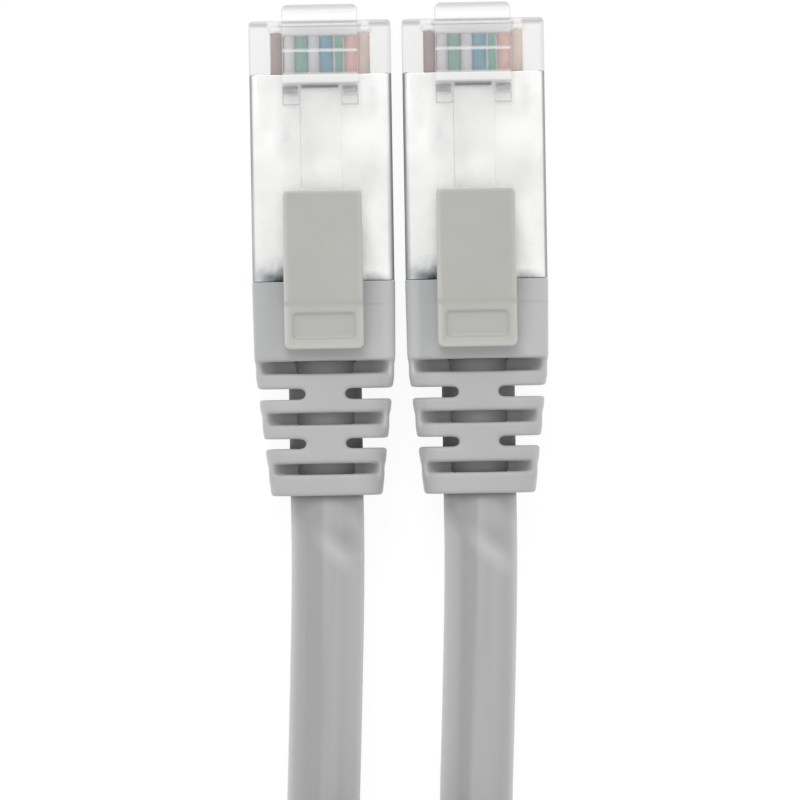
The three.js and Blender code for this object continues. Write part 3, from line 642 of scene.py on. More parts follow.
def moulded_surface():
    """A moulded plastic's fine spark-eroded grain, and its slow drift in tone."""
    name = "Moulded Surface"
    if name in bpy.data.node_groups:
        return bpy.data.node_groups[name]
    inputs = [
        ("Vector", "NodeSocketVector", None),
        ("Light", "NodeSocketColor", (0.8, 0.8, 0.8, 1)),
        ("Dark", "NodeSocketColor", (0.7, 0.7, 0.7, 1)),
        ("Grain Scale", "NodeSocketFloat", 9000.0),
        ("Grain Depth", "NodeSocketFloat", 0.1),
        ("Roughness", "NodeSocketFloat", 0.5),
    ]
    outputs = [
        ("Color", "NodeSocketColor"),
        ("Roughness", "NodeSocketFloat"),
        ("Normal", "NodeSocketVector"),
    ]
    group, start, end = new_group(name, inputs, outputs)
    vector, light, dark, scale, depth, roughness = (start.outputs[label] for label, _, _ in inputs)
    drift = noise(vector, 160.0, 2.0)
    grain = noise(vector, scale, 2.0, 0.6)
    tone = maths("ADD", swing(drift, 0.0, 0.8), swing(grain, 0.0, 0.2))
    gloss = maths("ADD", roughness, swing(grain, -0.05, 0.05))
    results = {"Color": mixed(tone, dark, light), "Roughness": gloss, "Normal": bump(grain, depth, 0.00003)}
    set_inputs(end, results)
    return group


def smudges():
    """Soft patches of haze with streaks, as handling leaves on a shiny part."""
    name = "Smudges"
    if name in bpy.data.node_groups:
        return bpy.data.node_groups[name]
    inputs = [
        ("Vector", "NodeSocketVector", None),
        ("Scale", "NodeSocketFloat", 300.0),
        ("Stretch", "NodeSocketFloat", 0.4),
    ]
    outputs = [("Mask", "NodeSocketFloat"), ("Height", "NodeSocketFloat")]
    group, start, end = new_group(name, inputs, outputs)
    vector, scale, stretch = (start.outputs[label] for label, _, _ in inputs)
    drawn = vector_maths("MULTIPLY", vector, vector_of(1.0, stretch, 1.0))
    patches = noise(drawn, scale, 4.0, 0.6)
    fine = noise(drawn, maths("MULTIPLY", scale, 5.0), 3.0, 0.7)
    mask = maths("MULTIPLY", spread(patches, 0.48, 0.72), spread(fine, 0.3, 0.6, 0.6, 1.0), clamp=True)
    set_inputs(end, {"Mask": mask, "Height": patches})
    return group


def use_group(group, inputs):
    return add_node(inputs["Vector"].id_data, "ShaderNodeGroup", inputs, node_tree=group).outputs


def new_material(name):
    """Starts a material and returns it with its shader and its Object coordinates."""
    material = bpy.data.materials.new(name)
    material.use_nodes = True
    nodes = material.node_tree.nodes
    return material, nodes["Principled BSDF"], nodes.new("ShaderNodeTexCoord").outputs["Object"]


def own_place(place):
    """Object coordinates with both plugs laid over each other, so that a mark comes at the same place on
    each."""
    parts = axes(place)
    pitch = 2 * HALF_PITCH * MM
    x = maths("SUBTRACT", maths("WRAP", parts["X"], pitch, 0.0), pitch / 2)
    return vector_of(x, parts["Y"], parts["Z"])


def mark(place, centre, reach, turn=0.0):
    """A soft spot at a point of each plug, in metres, turned about the upright axis."""
    offset = vector_maths("SUBTRACT", place, centre)
    if turn:
        inputs = {"Vector": offset, "Angle": math.radians(-turn)}
        turned = add_node(place.id_data, "ShaderNodeVectorRotate", inputs, rotation_type="Z_AXIS")
        offset = turned.outputs["Vector"]
    scaled = vector_maths("MULTIPLY", offset, tuple(1 / r for r in reach))
    return spread(vector_maths("LENGTH", scaled), 1.0, 0.0)


def patch(place, low, high, soft=0.00012, soft_ends=None):
    """A rectangle of each plug seen from above, between two corners in millimetres behind the front face.
    Its edges are soft over some metres, and its front and rear edges may have their own softness."""
    parts = axes(place)
    share = 1.0
    for axis, start, end, blur in (
        ("X", low[0] * MM, high[0] * MM, soft),
        ("Y", (FRONT_Y - high[1]) * MM, (FRONT_Y - low[1]) * MM, soft_ends or soft),
    ):
        rises = spread(parts[axis], start - blur, start + blur)
        falls = spread(parts[axis], end + blur, end - blur)
        share = maths("MULTIPLY", share, maths("MULTIPLY", rises, falls))
    return share


def moulded_material(name, rgb, grain, depth, roughness, patches=()):
    """Moulded plastic, with a change of tone over some patches, most of which paint light and shade, and
    painted light where the plugs face each other.
    """
    material, shader, place = new_material(name)
    inputs = {"Vector": place, "Light": opaque(rgb, 1.02), "Dark": opaque(rgb, 0.93)}
    inputs.update({"Grain Scale": grain, "Grain Depth": depth, "Roughness": roughness})
    surface = use_group(moulded_surface(), inputs)
    body = surface["Color"]
    own = own_place(place)
    for low, high, tone, *soft in patches:
        tinted = (*(part * share for part, share in zip(rgb, tone)), 1.0)
        body = mixed(patch(own, low, high, *soft), body, tinted)
    # Painted light where the plugs face each other, lifting the shade that each casts on the other
    aside = maths("ABSOLUTE", axes(place)["X"])
    body = mixed(spread(aside, 0.0017, 0.0005), body, opaque(rgb, 1.36))
    finish = {"Base Color": body, "Roughness": surface["Roughness"], "Normal": surface["Normal"]}
    finish.update({"Specular IOR Level": 0.35, "Sheen Weight": 0.5, "Sheen Roughness": 0.4})
    set_inputs(shader, finish)
    return material


# Darker and paler spots on the shells: centre, reach, colour and share
SHELL_MARKS = [
    ((-0.0046, 0.0005, 0.0073), (0.0022, 0.0075, 0.004), (0.78, 0.78, 0.76), 0.9),
    ((-0.0037, -0.0026, 0.0073), (0.0028, 0.0022, 0.004), (0.3, 0.34, 0.36), 1.5),
    ((-0.0034, -0.0027, 0.0073), (0.0018, 0.0014, 0.004), (0.04, 0.055, 0.07), 1.9),
    ((0.0039, -0.0028, 0.0073), (0.0019, 0.0011, 0.004), (0.12, 0.13, 0.135), 1.4),
    ((-0.0003, 0.0058, 0.0073), (0.0016, 0.0013, 0.003), (0.83, 0.83, 0.74), 0.7),
    ((-0.0029, 0.0092, 0.0073), (0.0011, 0.0024, 0.003), (0.6, 0.61, 0.61), 0.75),
    ((0.0042, 0.0128, 0.0073), (0.0007, 0.0024, 0.003), (0.6, 0.61, 0.61), 0.5),
]


def shell_material(rgb):
    """Drawn and plated sheet metal: mottled and a little uneven, with a painted dark reflection along its
    bends, where it is also less metallic.
    """
    material, shader, place = new_material("shell_plating")
    own = own_place(place)
    haze = use_group(smudges(), {"Vector": own, "Scale": 330.0, "Stretch": 0.45})
    body = mixed(haze["Mask"], opaque(rgb), opaque(rgb, 0.82))
    cloud = noise(own, 190.0, 2.0)
    body = mixed(spread(cloud, 0.42, 0.7, 0.0, 0.9), body, opaque(rgb, 0.83))
    steep = maths("ABSOLUTE", axes(place.node.outputs["Normal"])["X"])
    # Painted dark reflection along the bends, where the metal faces sideways; there it is also made less
    # metallic
    folded = spread(steep, 0.55, 0.76)
    body = mixed(folded, body, opaque((0.36, 0.365, 0.37)))
    ragged = noise(own, 800.0, 3.0)
    for centre, reach, tone, share in SHELL_MARKS:
        cover = spread(ragged, 0.3, 0.65, 0.3 * share, share)
        spot = maths("MULTIPLY", mark(own, centre, reach), cover, clamp=True)
        body = mixed(spot, body, opaque(tone))
    finish = {"Base Color": body, "Metallic": spread(folded, 0.0, 1.0, 1.0, 0.25)}
    finish["Roughness"] = maths("ADD", swing(haze["Height"], 0.26, 0.4), spread(steep, 0.1, 0.6, 0.0, 0.3))
    finish["Normal"] = bump(cloud, 0.12, 0.0001)
    set_inputs(shader, finish)
    return material


def clear_material(name, rgb, cloud, roughness, patches=()):
    """Clear moulded plastic, a little cloudy, with painted shade where it is seen edge on, and patches of
    their own colour and cover, most of them painted light and shade."""
    material, shader, place = new_material(name)
    own = own_place(place)
    haze = use_group(smudges(), {"Vector": own, "Scale": 420.0, "Stretch": 0.6})
    body = mixed(haze["Mask"], opaque(rgb), opaque(rgb, 0.96))
    rim = add_node(place.id_data, "ShaderNodeLayerWeight", {"Blend": 0.65}).outputs["Facing"]
    # Painted shade where the plastic is seen edge on
    body = mixed(spread(rim, 0.1, 0.5), body, opaque(EDGE_ON_SHADE))
    cover = spread(rim, 0.1, 0.9, cloud, 0.55)
    cover = maths("ADD", cover, maths("MULTIPLY", haze["Mask"], 0.04), clamp=True)
    # Each patch sets its own colour and cover, mostly to paint light or shade
    for low, high, tint, patch_cover, *soft in patches:
        share = patch(own, low, high, *soft)
        body = mixed(share, body, opaque(tint))
        cover = blended(share, cover, patch_cover)
    finish = {"Base Color": body, "Alpha": cover, "Normal": bump(haze["Height"], 0.08, 0.0001)}
    finish["Roughness"] = swing(haze["Height"], roughness * 0.7, roughness * 1.4)
    set_inputs(shader, finish)
    return material


# Near each boot, a painted highlight along a crease and painted shade in the hollows beside it: centre,
# reach, turn in degrees, tone and share
CREASE_LIGHT_AND_SHADE = [
    ((0.0008, -0.0249, 0.006), (0.0034, 0.0011, 0.01), -45.0, 1.3, 0.9),
    ((0.0013, -0.0236, 0.006), (0.002, 0.0013, 0.01), -42.0, 0.82, 0.75),
    ((-0.0018, -0.0221, 0.006), (0.0028, 0.0011, 0.01), -58.0, 0.82, 0.8),
]


def skin(place):
    """Where a point is round a tube and along it."""
    return add_node(place.id_data, "ShaderNodeAttribute", attribute_name="skin").outputs["Vector"]


def jacket_material(rgb):
    """Soft jacket plastic: the pairs inside show as long faint streaks. Light and shade are painted on:
    paler sides, paler still where the two leads face each other, a darker band down one side of each lead,
    a crease highlight with shade beside it near each boot, and shade on what the boots cover and a little
    past their ends."""
    material, shader, place = new_material("cable_jacket")
    on_skin = skin(place)
    streaks = noise(vector_maths("MULTIPLY", on_skin, (1.0, 1.0, 0.045)), 2.6, 2.0, 0.4)
    fine = noise(place, 7000.0, 2.0, 0.6)
    body = mixed(spread(streaks, 0.35, 0.65), opaque(rgb, 0.97), opaque(rgb, 1.05))
    body = mixed(swing(fine, 0.0, 0.35), body, opaque(rgb, 0.97))
    along = axes(on_skin)["Z"]
    to_end = maths("MINIMUM", along, maths("SUBTRACT", CORD_LENGTH / CORD_RADIUS, along))
    lead = spread(to_end, 14.0, 10.0)
    where = axes(place)
    facing = axes(place.node.outputs["Normal"])
    # Painted shade: a darker band down the side of each lead whose surface faces -X, near its ends
    wander = maths("ADD", facing["X"], swing(streaks, -0.08, 0.08))
    band = maths("MULTIPLY", spread(wander, -0.85, -0.55), spread(wander, -0.04, -0.2, 0.0, 0.85))
    body = mixed(maths("MULTIPLY", band, lead), body, opaque(rgb, 0.83))
    # Painted light: paler where the surface turns away from straight up, at the cable's sides
    flatness = maths("MULTIPLY", facing["Z"], facing["Z"])
    steepness = maths("SQRT", maths("SUBTRACT", 1.0, flatness, clamp=True))
    body = mixed(spread(steepness, 0.8, 1.0, 0.0, 0.7), body, opaque(rgb, 1.3))
    # Painted light on the sides where the two leads face each other, near their ends
    outwards = maths("MULTIPLY", facing["X"], maths("SIGN", where["X"]))
    inner = maths("MULTIPLY", spread(outwards, -0.45, -1.0, 0.0, 0.8), lead)
    body = mixed(inner, body, opaque(rgb, 1.6))
    own = own_place(place)
    for centre, reach, turn, tone, share in CREASE_LIGHT_AND_SHADE:
        spot = mark(own, centre, reach, turn)
        body = mixed(maths("MULTIPLY", spot, share), body, opaque(rgb, tone))
    # Painted shade on what the boots cover, fading out 0.6 mm past their ends
    boot_end = (FRONT_Y - BOOT_END) * MM
    boot_shade = spread(where["Y"], boot_end - 0.0006, boot_end)
    body = mixed(boot_shade, body, opaque(rgb, 0.64))
    finish = {"Base Color": body, "Roughness": swing(streaks, 0.46, 0.56)}
    finish["Normal"] = bump(fine, 0.1, 0.00003, bump(streaks, 0.25, 0.0002))
    finish.update({"Specular IOR Level": 0.4, "Sheen Weight": 0.5, "Sheen Roughness": 0.4})
    set_inputs(shader, finish)
    return material


def wire_material(name, rgb, stripe=None, reach=(0.0, 1.0)):
    """Thin glossy insulation, with a coloured stripe along a white wire over part of its width."""
    material, shader, place = new_material(name)
    drift = noise(place, 900.0, 2.0)
    body = mixed(swing(drift), opaque(rgb, 0.94), opaque(rgb, 1.04))
    if stripe:
        low, high = reach
        edge = maths("ADD", axes(skin(place))["X"], swing(drift, -0.05, 0.05))
        on_stripe = maths("MULTIPLY", spread(edge, low, low + 0.1), spread(edge, high, high - 0.1))
        body = mixed(on_stripe, body, opaque(stripe))
    set_inputs(shader, {"Base Color": body, "Roughness": swing(drift, 0.3, 0.42)})
    return material


def plated_material(name, rgb, roughness):
    """Bright plating with faint rub marks."""
    material, shader, place = new_material(name)
    rubbed = use_group(smudges(), {"Vector": place, "Scale": 1600.0, "Stretch": 0.3})
    body = mixed(rubbed["Mask"], opaque(rgb), opaque(rgb, 0.82))
    gloss = swing(rubbed["Height"], roughness, roughness + 0.12)
    set_inputs(shader, {"Base Color": body, "Roughness": gloss, "Metallic": 1.0})
    return material


def braid_material():
    """Tinned copper wires woven over and under each other."""
    material, shader, place = new_material("shield_braid")
    parts = axes(place)
    waves = []
    for lean in (1.0, -1.0):
        slanted = maths("ADD", parts["Y"], maths("MULTIPLY", parts["X"], lean))
        waves.append(maths("SINE", maths("MULTIPLY", slanted, 9000.0)))
    weave = spread(maths("MAXIMUM", *waves), -0.2, 1.0)
    body = mixed(weave, opaque((0.28, 0.2, 0.15)), opaque((0.72, 0.66, 0.6)))
    finish = {"Base Color": body, "Roughness": spread(weave, 0.0, 1.0, 0.6, 0.35), "Metallic": 1.0}
    set_inputs(shader, {**finish, "Normal": bump(weave, 0.6, 0.0001)})
    return material


def strap_material(rgb):
    """Woven hook-and-loop strap: ribs across, with a fuzz of short loops."""
    material, shader, place = new_material("tie_weave")
    rib_pitch = 0.0006
    ribs = maths("SINE", maths("MULTIPLY", axes(place)["Y"], 2 * math.pi / rib_pitch))
    fuzz = noise(place, 3200.0, 4.0, 0.7)
    height = maths("ADD", maths("MULTIPLY", ribs, 0.4), fuzz)
    body = mixed(spread(height, 0.0, 1.2), opaque(rgb, 0.6), opaque(rgb, 1.9))
    finish = {"Base Color": body, "Roughness": swing(fuzz, 0.8, 0.95), "Normal": bump(height, 0.7, 0.0002)}
    set_inputs(shader, {**finish, "Sheen Weight": 0.4, "Sheen Roughness": 0.5})
    return material


# ---- Operators ----


class StageOperator(bpy.types.Operator):
    """Lays the white floor, lights it softly and sets the camera above the plugs."""

    bl_idname = "patch_cable.stage"
    bl_label = "Stage"

    def execute(self, context):
        settings = context.scene.patch_cable.stage
        self.add_floor(settings)
        self.add_light(context, settings)
        self.add_camera(context, settings)
        context.scene.view_settings.view_transform = "Standard"
        return {"FINISHED"}

    def add_floor(self, settings):
        reach, sunk, glow = 6, 0.00002, 0.9
        bm = bmesh.new()
        bmesh.ops.create_grid(bm, x_segments=1, y_segments=1, size=reach)
        bmesh.ops.translate(bm, vec=(0, 0, -sunk), verts=bm.verts)
        floor = as_object(bm, "floor")
        material, shader, place = new_material("floor_paper")
        white = settings.floor_colour
        paper = mixed(swing(noise(place, 500.0), 0.0, 0.2), opaque(white), opaque(white, 0.99))
        seen = seen_rays(shader.id_data)
        paper = mixed(maths("MULTIPLY", seen, glow), paper, (0, 0, 0, 1))
        finish = {"Base Color": paper, "Roughness": 1.0, "Specular IOR Level": 0.0}
        finish["Emission Color"] = (1, 1, 1, 1)
        finish["Emission Strength"] = maths("MULTIPLY", seen, glow + 0.03)
        set_inputs(shader, finish)
        floor.data.materials.append(material)

    def add_light(self, context, settings):
        world = bpy.data.worlds.new("soft_sky")
        world.use_nodes = True
        context.scene.world = world
        tree = world.node_tree
        upwards = axes(tree.nodes.new("ShaderNodeTexCoord").outputs["Generated"])["Z"]
        strength = blended(seen_rays(tree), spread(upwards, 0.0, 1.0, 0.9, 0.82), 1.0)
        set_inputs(tree.nodes["Background"], {"Color": (1, 1, 1, 1), "Strength": strength})
        lamp = bpy.data.lights.new("soft_lamp", "AREA")
        lamp.shape = "DISK"
        lamp.size = 0.9
        lamp.energy = settings.lamp_power
        holder = bpy.data.objects.new("soft_lamp", lamp)
        holder.location = (-0.15, 1.05, 1.4)
        towards = Vector((0, 0, 0)) - holder.location
        holder.rotation_euler = towards.to_track_quat("-Z", "Y").to_euler()
        holder.visible_camera = False
        context.scene.collection.objects.link(holder)

    def add_camera(self, context, settings):
        distance, middle, roll = 1.5, (-0.000169, -0.012426), math.radians(-0.93)
        camera = bpy.data.cameras.new("camera")
        camera.sensor_width = 36.0
        camera.lens = camera.sensor_width * distance / settings.view_width
        camera.clip_start = 0.1
        camera.clip_end = 20.0
        holder = bpy.data.objects.new("camera", camera)
        holder.location = (*middle, AXIS_Z * MM + distance)
        holder.rotation_euler = (0, 0, roll)
        context.scene.collection.objects.link(holder)
        context.scene.camera = holder


class CordOperator(bpy.types.Operator):
    """Lays the cable from boot to boot, with its hank."""

    bl_idname = "patch_cable.cord"
    bl_label = "Cable"

    def execute(self, context):
        settings = context.scene.patch_cable.cord
        steps = round(HANK_TURNS * HANK_STEPS_PER_TURN)
        hank = [hank_point(i / HANK_STEPS_PER_TURN) for i in range(steps + 1)]
        straight = Vector((0, HANK_STRAIGHT, 0))
        route = [
            *map(Vector, LEFT_ROUTE),
            hank[0] + straight,
            *hank,
            hank[-1] + straight,
            *reversed([Vector(point) for point in RIGHT_ROUTE]),
        ]
        line = smooth_route(route, 0.0015)
        # The ends run on a little way inside the boots
        inside = Vector((0, 0.0009, 0))
        line = [line[0] + inside, *line, line[-1] + inside]
        shape = tube(line, settings.diameter / 2, 24)
        nodes = ["cable_lead_left", "cable_lead_right", "cable_hank"]
        material = jacket_material(settings.jacket_colour)
        piece = add_piece("patch_cable", shape, Matrix.Identity(4), material, nodes)
        return {"FINISHED"}


class JacketEndsOperator(bpy.types.Operator):
    """Makes the ends of the jacket inside the boots."""

    bl_idname = "patch_cable.jacket_ends"
    bl_label = "Jacket Ends"

    # Distances, half widths and half heights: oval inside the plug, pinched by the collar, then round
    sections = [
        (JACKET_START, 3.3, 2.15),
        (JACKET_START + 0.15, 3.45, 2.3),
        (20.58, 3.45, 2.3),
        (21.6, 3.1, 2.5),
        (CRIMP_START - 0.1, 2.7, 2.7),
        (CRIMP_END + 0.1, 2.7, 2.7),
        (CRIMP_END + 0.8, 2.85, 2.85),
        (CRIMP_END + 1.5, 3.0, 3.0),
        (31.0, 3.0, 3.0),
        (BOOT_END - 0.65, 3.0, 3.0),
    ]

    def shape(self):
        line = [Vector((0, -distance, 0)) for distance, _, _ in self.sections]
        outside = tube(line, 3.0, 32, [half_sizes for _, *half_sizes in self.sections])
        return cut(outside, round_block(4.3, 2.2, JACKET_START - 1, JACKET_START + 2.4, 0.25))

    def execute(self, context):
        material = bpy.data.objects["patch_cable"].data.materials[0]
        add_pair("jacket_sleeve", "jacket_end", self.shape, material)
        return {"FINISHED"}


class BootsOperator(bpy.types.Operator):
    """Moulds the boots: a block, then rings tied by side walls and a spine so that the tail bends."""

    bl_idname = "patch_cable.boots"
    bl_label = "Boots"

    # The block, and where the tail's sections and side slots start and end behind the boot's front
    front_width = 11.79
    rear_width = 11.6
    block_end = 6.5
    sections = [(7.55, 10.75), (11.75, 14.93), (15.83, 17.57)]
    slots = [(8.77, 9.65), (12.88, 13.7)]
    cell = 0.15

    def grooves(self):
        """Where each groove starts and ends."""
        ends = [self.block_end] + [rear for _, rear in self.sections]
        return list(zip(ends, [front for front, _ in self.sections]))

    def width_at(self, distance):
        """How wide the tail is, as it narrows towards its rear."""
        return 11.5 - (distance - 7.0) * 0.2223

    def height_at(self, distance):
        """How high the tail is, as it gets lower towards its rear."""
        return 2 * BOOT_TOP - (distance - self.block_end) * 0.036

    def tail_section(self, front, rear):
        width, height = self.width_at(front), self.height_at(front)
        shape = block(width, PLUG_LENGTH + front, PLUG_LENGTH + rear, -height / 2, height / 2)
        taper(shape, PLUG_LENGTH + rear, self.width_at(rear) / width, self.height_at(rear) / height)
        return round_over(shape, edges_along(shape, 1), 2.0, 8)

    def tie(self, front, rear):
        """What ties two rings across a groove: a web beside the cable that rises to a lip at each side."""
        half = self.width_at((front + rear) / 2) / 2 - 0.06
        above = [(half, 2.5), (half - 0.25, 3.15), (half - 1.1, 2.3), (half - 1.9, 2.0)]
        outline = [*above, *((-x, z) for x, z in reversed(above))]
        outline += [(x, -z) for x, z in reversed(outline)]
        return bar(outline, PLUG_LENGTH + front - 0.4, PLUG_LENGTH + rear + 0.4)

    def side_slot(self, front, rear, side):
        """A slot from one side, round at its inner end."""
        inner, outer = 1.6, 8.0
        reach = BOOT_TOP + 1
        centre = side * (inner + outer) / 2
        shape = block(outer - inner, PLUG_LENGTH + front, PLUG_LENGTH + rear, -reach, reach, centre)
        ends = [edge for edge in edges_along(shape, 2) if abs(edge.verts[0].co.x) < inner + 0.1]
        # Just under half the slot, as two rounds can't quite meet
        return round_over(shape, ends, (rear - front) / 2 * 0.98, 6)

    def shape(self, radius):
        """The boot, moulded with a spare front that is trimmed off again, as its front face is sharp."""
        ahead = PLUG_LENGTH - 1
        body = block(self.front_width, ahead, PLUG_LENGTH + self.block_end, -BOOT_TOP, BOOT_TOP)
        taper(body, PLUG_LENGTH + self.block_end, self.rear_width / self.front_width)
        round_over(body, edges_along(body, 1), 1.3, 8)
        parts = [self.tail_section(*section) for section in self.sections]
        parts += [self.tie(*groove) for groove in self.grooves()]
        step = CRIMP_END + 1.5
        body = cut(
            joined(body, *parts),
            block(3.8, PLUG_LENGTH - 2, CRIMP_START + 0.35, 0, PLUG_TOP + 0.1),
            core(3.35, PLUG_LENGTH - 2, step),
            core(2.95, step - 1, BOOT_END + 1),
            *(self.side_slot(*slot, side) for slot in self.slots for side in (-1, 1)),
        )
        rounds = round((radius / MM / self.cell) ** 2 * 2)
        return trimmed(moulded(body, self.cell, rounds), PLUG_LENGTH)

    def execute(self, context):
        settings = context.scene.patch_cable.boot
        parting, shaded = (0.93, 0.93, 0.93), (0.69, 0.685, 0.68)
        # Painted shade on the block beside the guard's left side, painted light beside its right side, and
        # a thin darker line at the guard's hinge
        patches = [
            ((-6.5, 21.0), (-3.4, 27.9), (0.94, 0.945, 0.95), 0.0008, 0.00002),
            ((3.4, 21.0), (6.5, 27.9), (1.07, 1.07, 1.07), 0.0008, 0.00002),
            ((-5.9, 23.3), (5.9, 23.42), parting, 0.00008),
        ]
        # Painted shade in the floor of each groove
        for start, end in self.grooves():
            half = self.width_at((start + end) / 2) / 2 - 1.05
            start, end = PLUG_LENGTH + start + 0.03, PLUG_LENGTH + end - 0.03
            patches.append(((-half, start), (half, end), shaded, 0.0008, 0.00002))
        material = moulded_material("boot_plastic", settings.boot_colour, 9000.0, 0.12, 0.5, patches)
        radius = settings.edge
        add_pair("moulded_boot", "boot", lambda: self.shape(radius), material)
        return {"FINISHED"}


class GuardsOperator(bpy.types.Operator):
    """Moulds the guards over the latches, each with the foot that it springs from."""

    bl_idname = "patch_cable.guards"
    bl_label = "Latch Guards"

    def up_the_slope(self, along, rise):
        """A point of the sloping plate, from its hinge."""
        distance = GUARD_HINGE - along * math.cos(GUARD_SLOPE) + rise * math.sin(GUARD_SLOPE)
        height = GUARD_HINGE_Z + along * math.sin(GUARD_SLOPE) + rise * math.cos(GUARD_SLOPE)
        return distance, height

    def shape(self, radius):
        """The sloping plate with its foot, a skirt along each side and a recess in the foot."""
        length, half, cell = 9.73, 0.475, 0.1
        top = GUARD_HINGE_Z + half
        outline = [
            (27.0, BOOT_TOP - 0.15),
            (27.0, top),
            (23.5, top),
            self.up_the_slope(0.6, half),
            self.up_the_slope(length, half),
            self.up_the_slope(length, -half),
            self.up_the_slope(1.2, -half),
            (22.9, 5.43),
            (22.9, BOOT_TOP - 0.15),
        ]
        body = slab(outline, GUARD_WIDTH)
        corners = [Vector((-distance, height)) for distance, height in (*outline[:2], *outline[4:6])]

        def stands_at_corner(edge):
            upright = abs(edge.verts[0].co.x - edge.verts[1].co.x) < NEAR
            ends = (vert.co.yz for vert in edge.verts)
            return upright and all(any((end - c).length < 10 * NEAR for c in corners) for end in ends)

        round_over(body, [edge for edge in body.edges if stands_at_corner(edge)], 0.4, 6)
        skirt = [
            self.up_the_slope(1.9, -half + 0.2),
            self.up_the_slope(length - 0.5, -half + 0.2),
            self.up_the_slope(length - 0.5, -half - 0.45),
            self.up_the_slope(2.3, -half - 0.45),
        ]
        body = joined(body, *(slab(skirt, 0.6, side * (GUARD_WIDTH - 0.7) / 2) for side in (-1, 1)))
        recess = block(5.1, 24.08, 26.2, top - 0.34, top + 1)
        round_over(recess, edges_along(recess, 2), 0.2)
        return moulded(cut(body, recess), cell, round((radius / MM / cell) ** 2))

    def execute(self, context):
        settings = context.scene.patch_cable.boot
        patches = [
            # Painted highlights along the guard's side, rear and front edges, and painted shade in the
            # crease at the hinge and in the recess
            ((-4.0, 13.0), (-2.98, 28.0), (1.2, 1.19, 1.21), 0.0002),
            ((3.0, 13.0), (4.0, 28.0), (1.12, 1.12, 1.12), 0.0002),
            ((-4.0, 26.6), (4.0, 28.0), (1.12, 1.12, 1.12), 0.0002),
            ((-4.0, 13.0), (4.0, 14.05), (1.1, 1.1, 1.1), 0.0001),
            ((-3.3, 23.05), (3.3, 23.45), (0.91, 0.91, 0.92), 0.0002),
            ((-2.45, 24.2), (2.45, 26.1), (0.93, 0.94, 0.985), 0.00015),
        ]
        material = moulded_material("guard_plastic", settings.guard_colour, 8000.0, 0.08, 0.42, patches)
        radius = settings.guard_edge
        pair = add_pair(
            "guard_arm", "latch_guard", lambda: self.shape(radius), material, None
        )
        for side, piece in pair.items():
            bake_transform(piece)
        return {"FINISHED"}


class ShieldsOperator(bpy.types.Operator):
    """Folds the metal shells, each with its strip and its collar round the braid."""

    bl_idname = "patch_cable.shields"
    bl_label = "Metal Shells"

    def box(self, corner):
        """The folded box, open at both ends, with a window below at the front and a seam behind it."""
        width, window_end, seam = 11.66, 8.2, 0.1
        shape = block(width, SHELL_START, SHELL_END, -PLUG_TOP, PLUG_TOP)
        round_over(shape, edges_along(shape, 1), corner, 8)
        geom = [*shape.verts, *shape.edges, *shape.faces]
        bmesh.ops.bisect_plane(shape, geom=geom, plane_co=(0, -window_end, 0), plane_no=(0, 1, 0))
        for x in (-seam, seam):
            geom = [*shape.verts, *shape.edges, *shape.faces]
            bmesh.ops.bisect_plane(shape, geom=geom, plane_co=(x, 0, 0), plane_no=(1, 0, 0))
        gone = []
        for face in shape.faces:
            middle = face.calc_center_median()
            below = face.normal.z < -0.99
            if abs(face.normal.y) > 0.9 or (below and (middle.y > -window_end or abs(middle.x) < seam)):
                gone.append(face)
        bmesh.ops.delete(shape, geom=gone, context="FACES")
        return shape

    def collar(self):
        """The collar crimped on the braid, with a slit below."""
        shape = core(3.25, CRIMP_START, CRIMP_END, 48)
        ends = [face for face in shape.faces if abs(face.normal.y) > 0.9]
        bmesh.ops.delete(shape, geom=ends, context="FACES")
        slit = [face for face in shape.faces if face.normal.z < -0.99]
        bmesh.ops.delete(shape, geom=slit[:1], context="FACES")
        return shape

    def add_strip(self, shape):
        """Adds the strip from the box's top to the collar."""
        half, front, rear, low = 1.8, SHELL_END - 0.6, CRIMP_START + 0.25, 3.24
        corners = [(-half, front, PLUG_TOP), (half, front, PLUG_TOP), (half, rear, low), (-half, rear, low)]
        face = shape.faces.new([shape.verts.new((x, -d, z)) for x, d, z in corners])
        face.normal_update()
        if face.normal.z < 0:
            face.normal_flip()

    def shape(self, corner):
        shape = self.box(corner)
        ring = self.collar()
        collar = bpy.data.meshes.new("collar")
        ring.to_mesh(collar)
        ring.free()
        shape.from_mesh(collar)
        bpy.data.meshes.remove(collar)
        self.add_strip(shape)
        return shape

    def execute(self, context):
        settings = context.scene.patch_cable.plug
        corner = settings.shell_corner / MM
        material = shell_material(settings.shell_colour)
        pair = add_pair("metal_shell", "shield", lambda: self.shape(corner), material)
        for piece in pair.values():
            thicken(piece, SHEET * MM)
            ease_edges(piece, 0.00004)
        return {"FINISHED"}


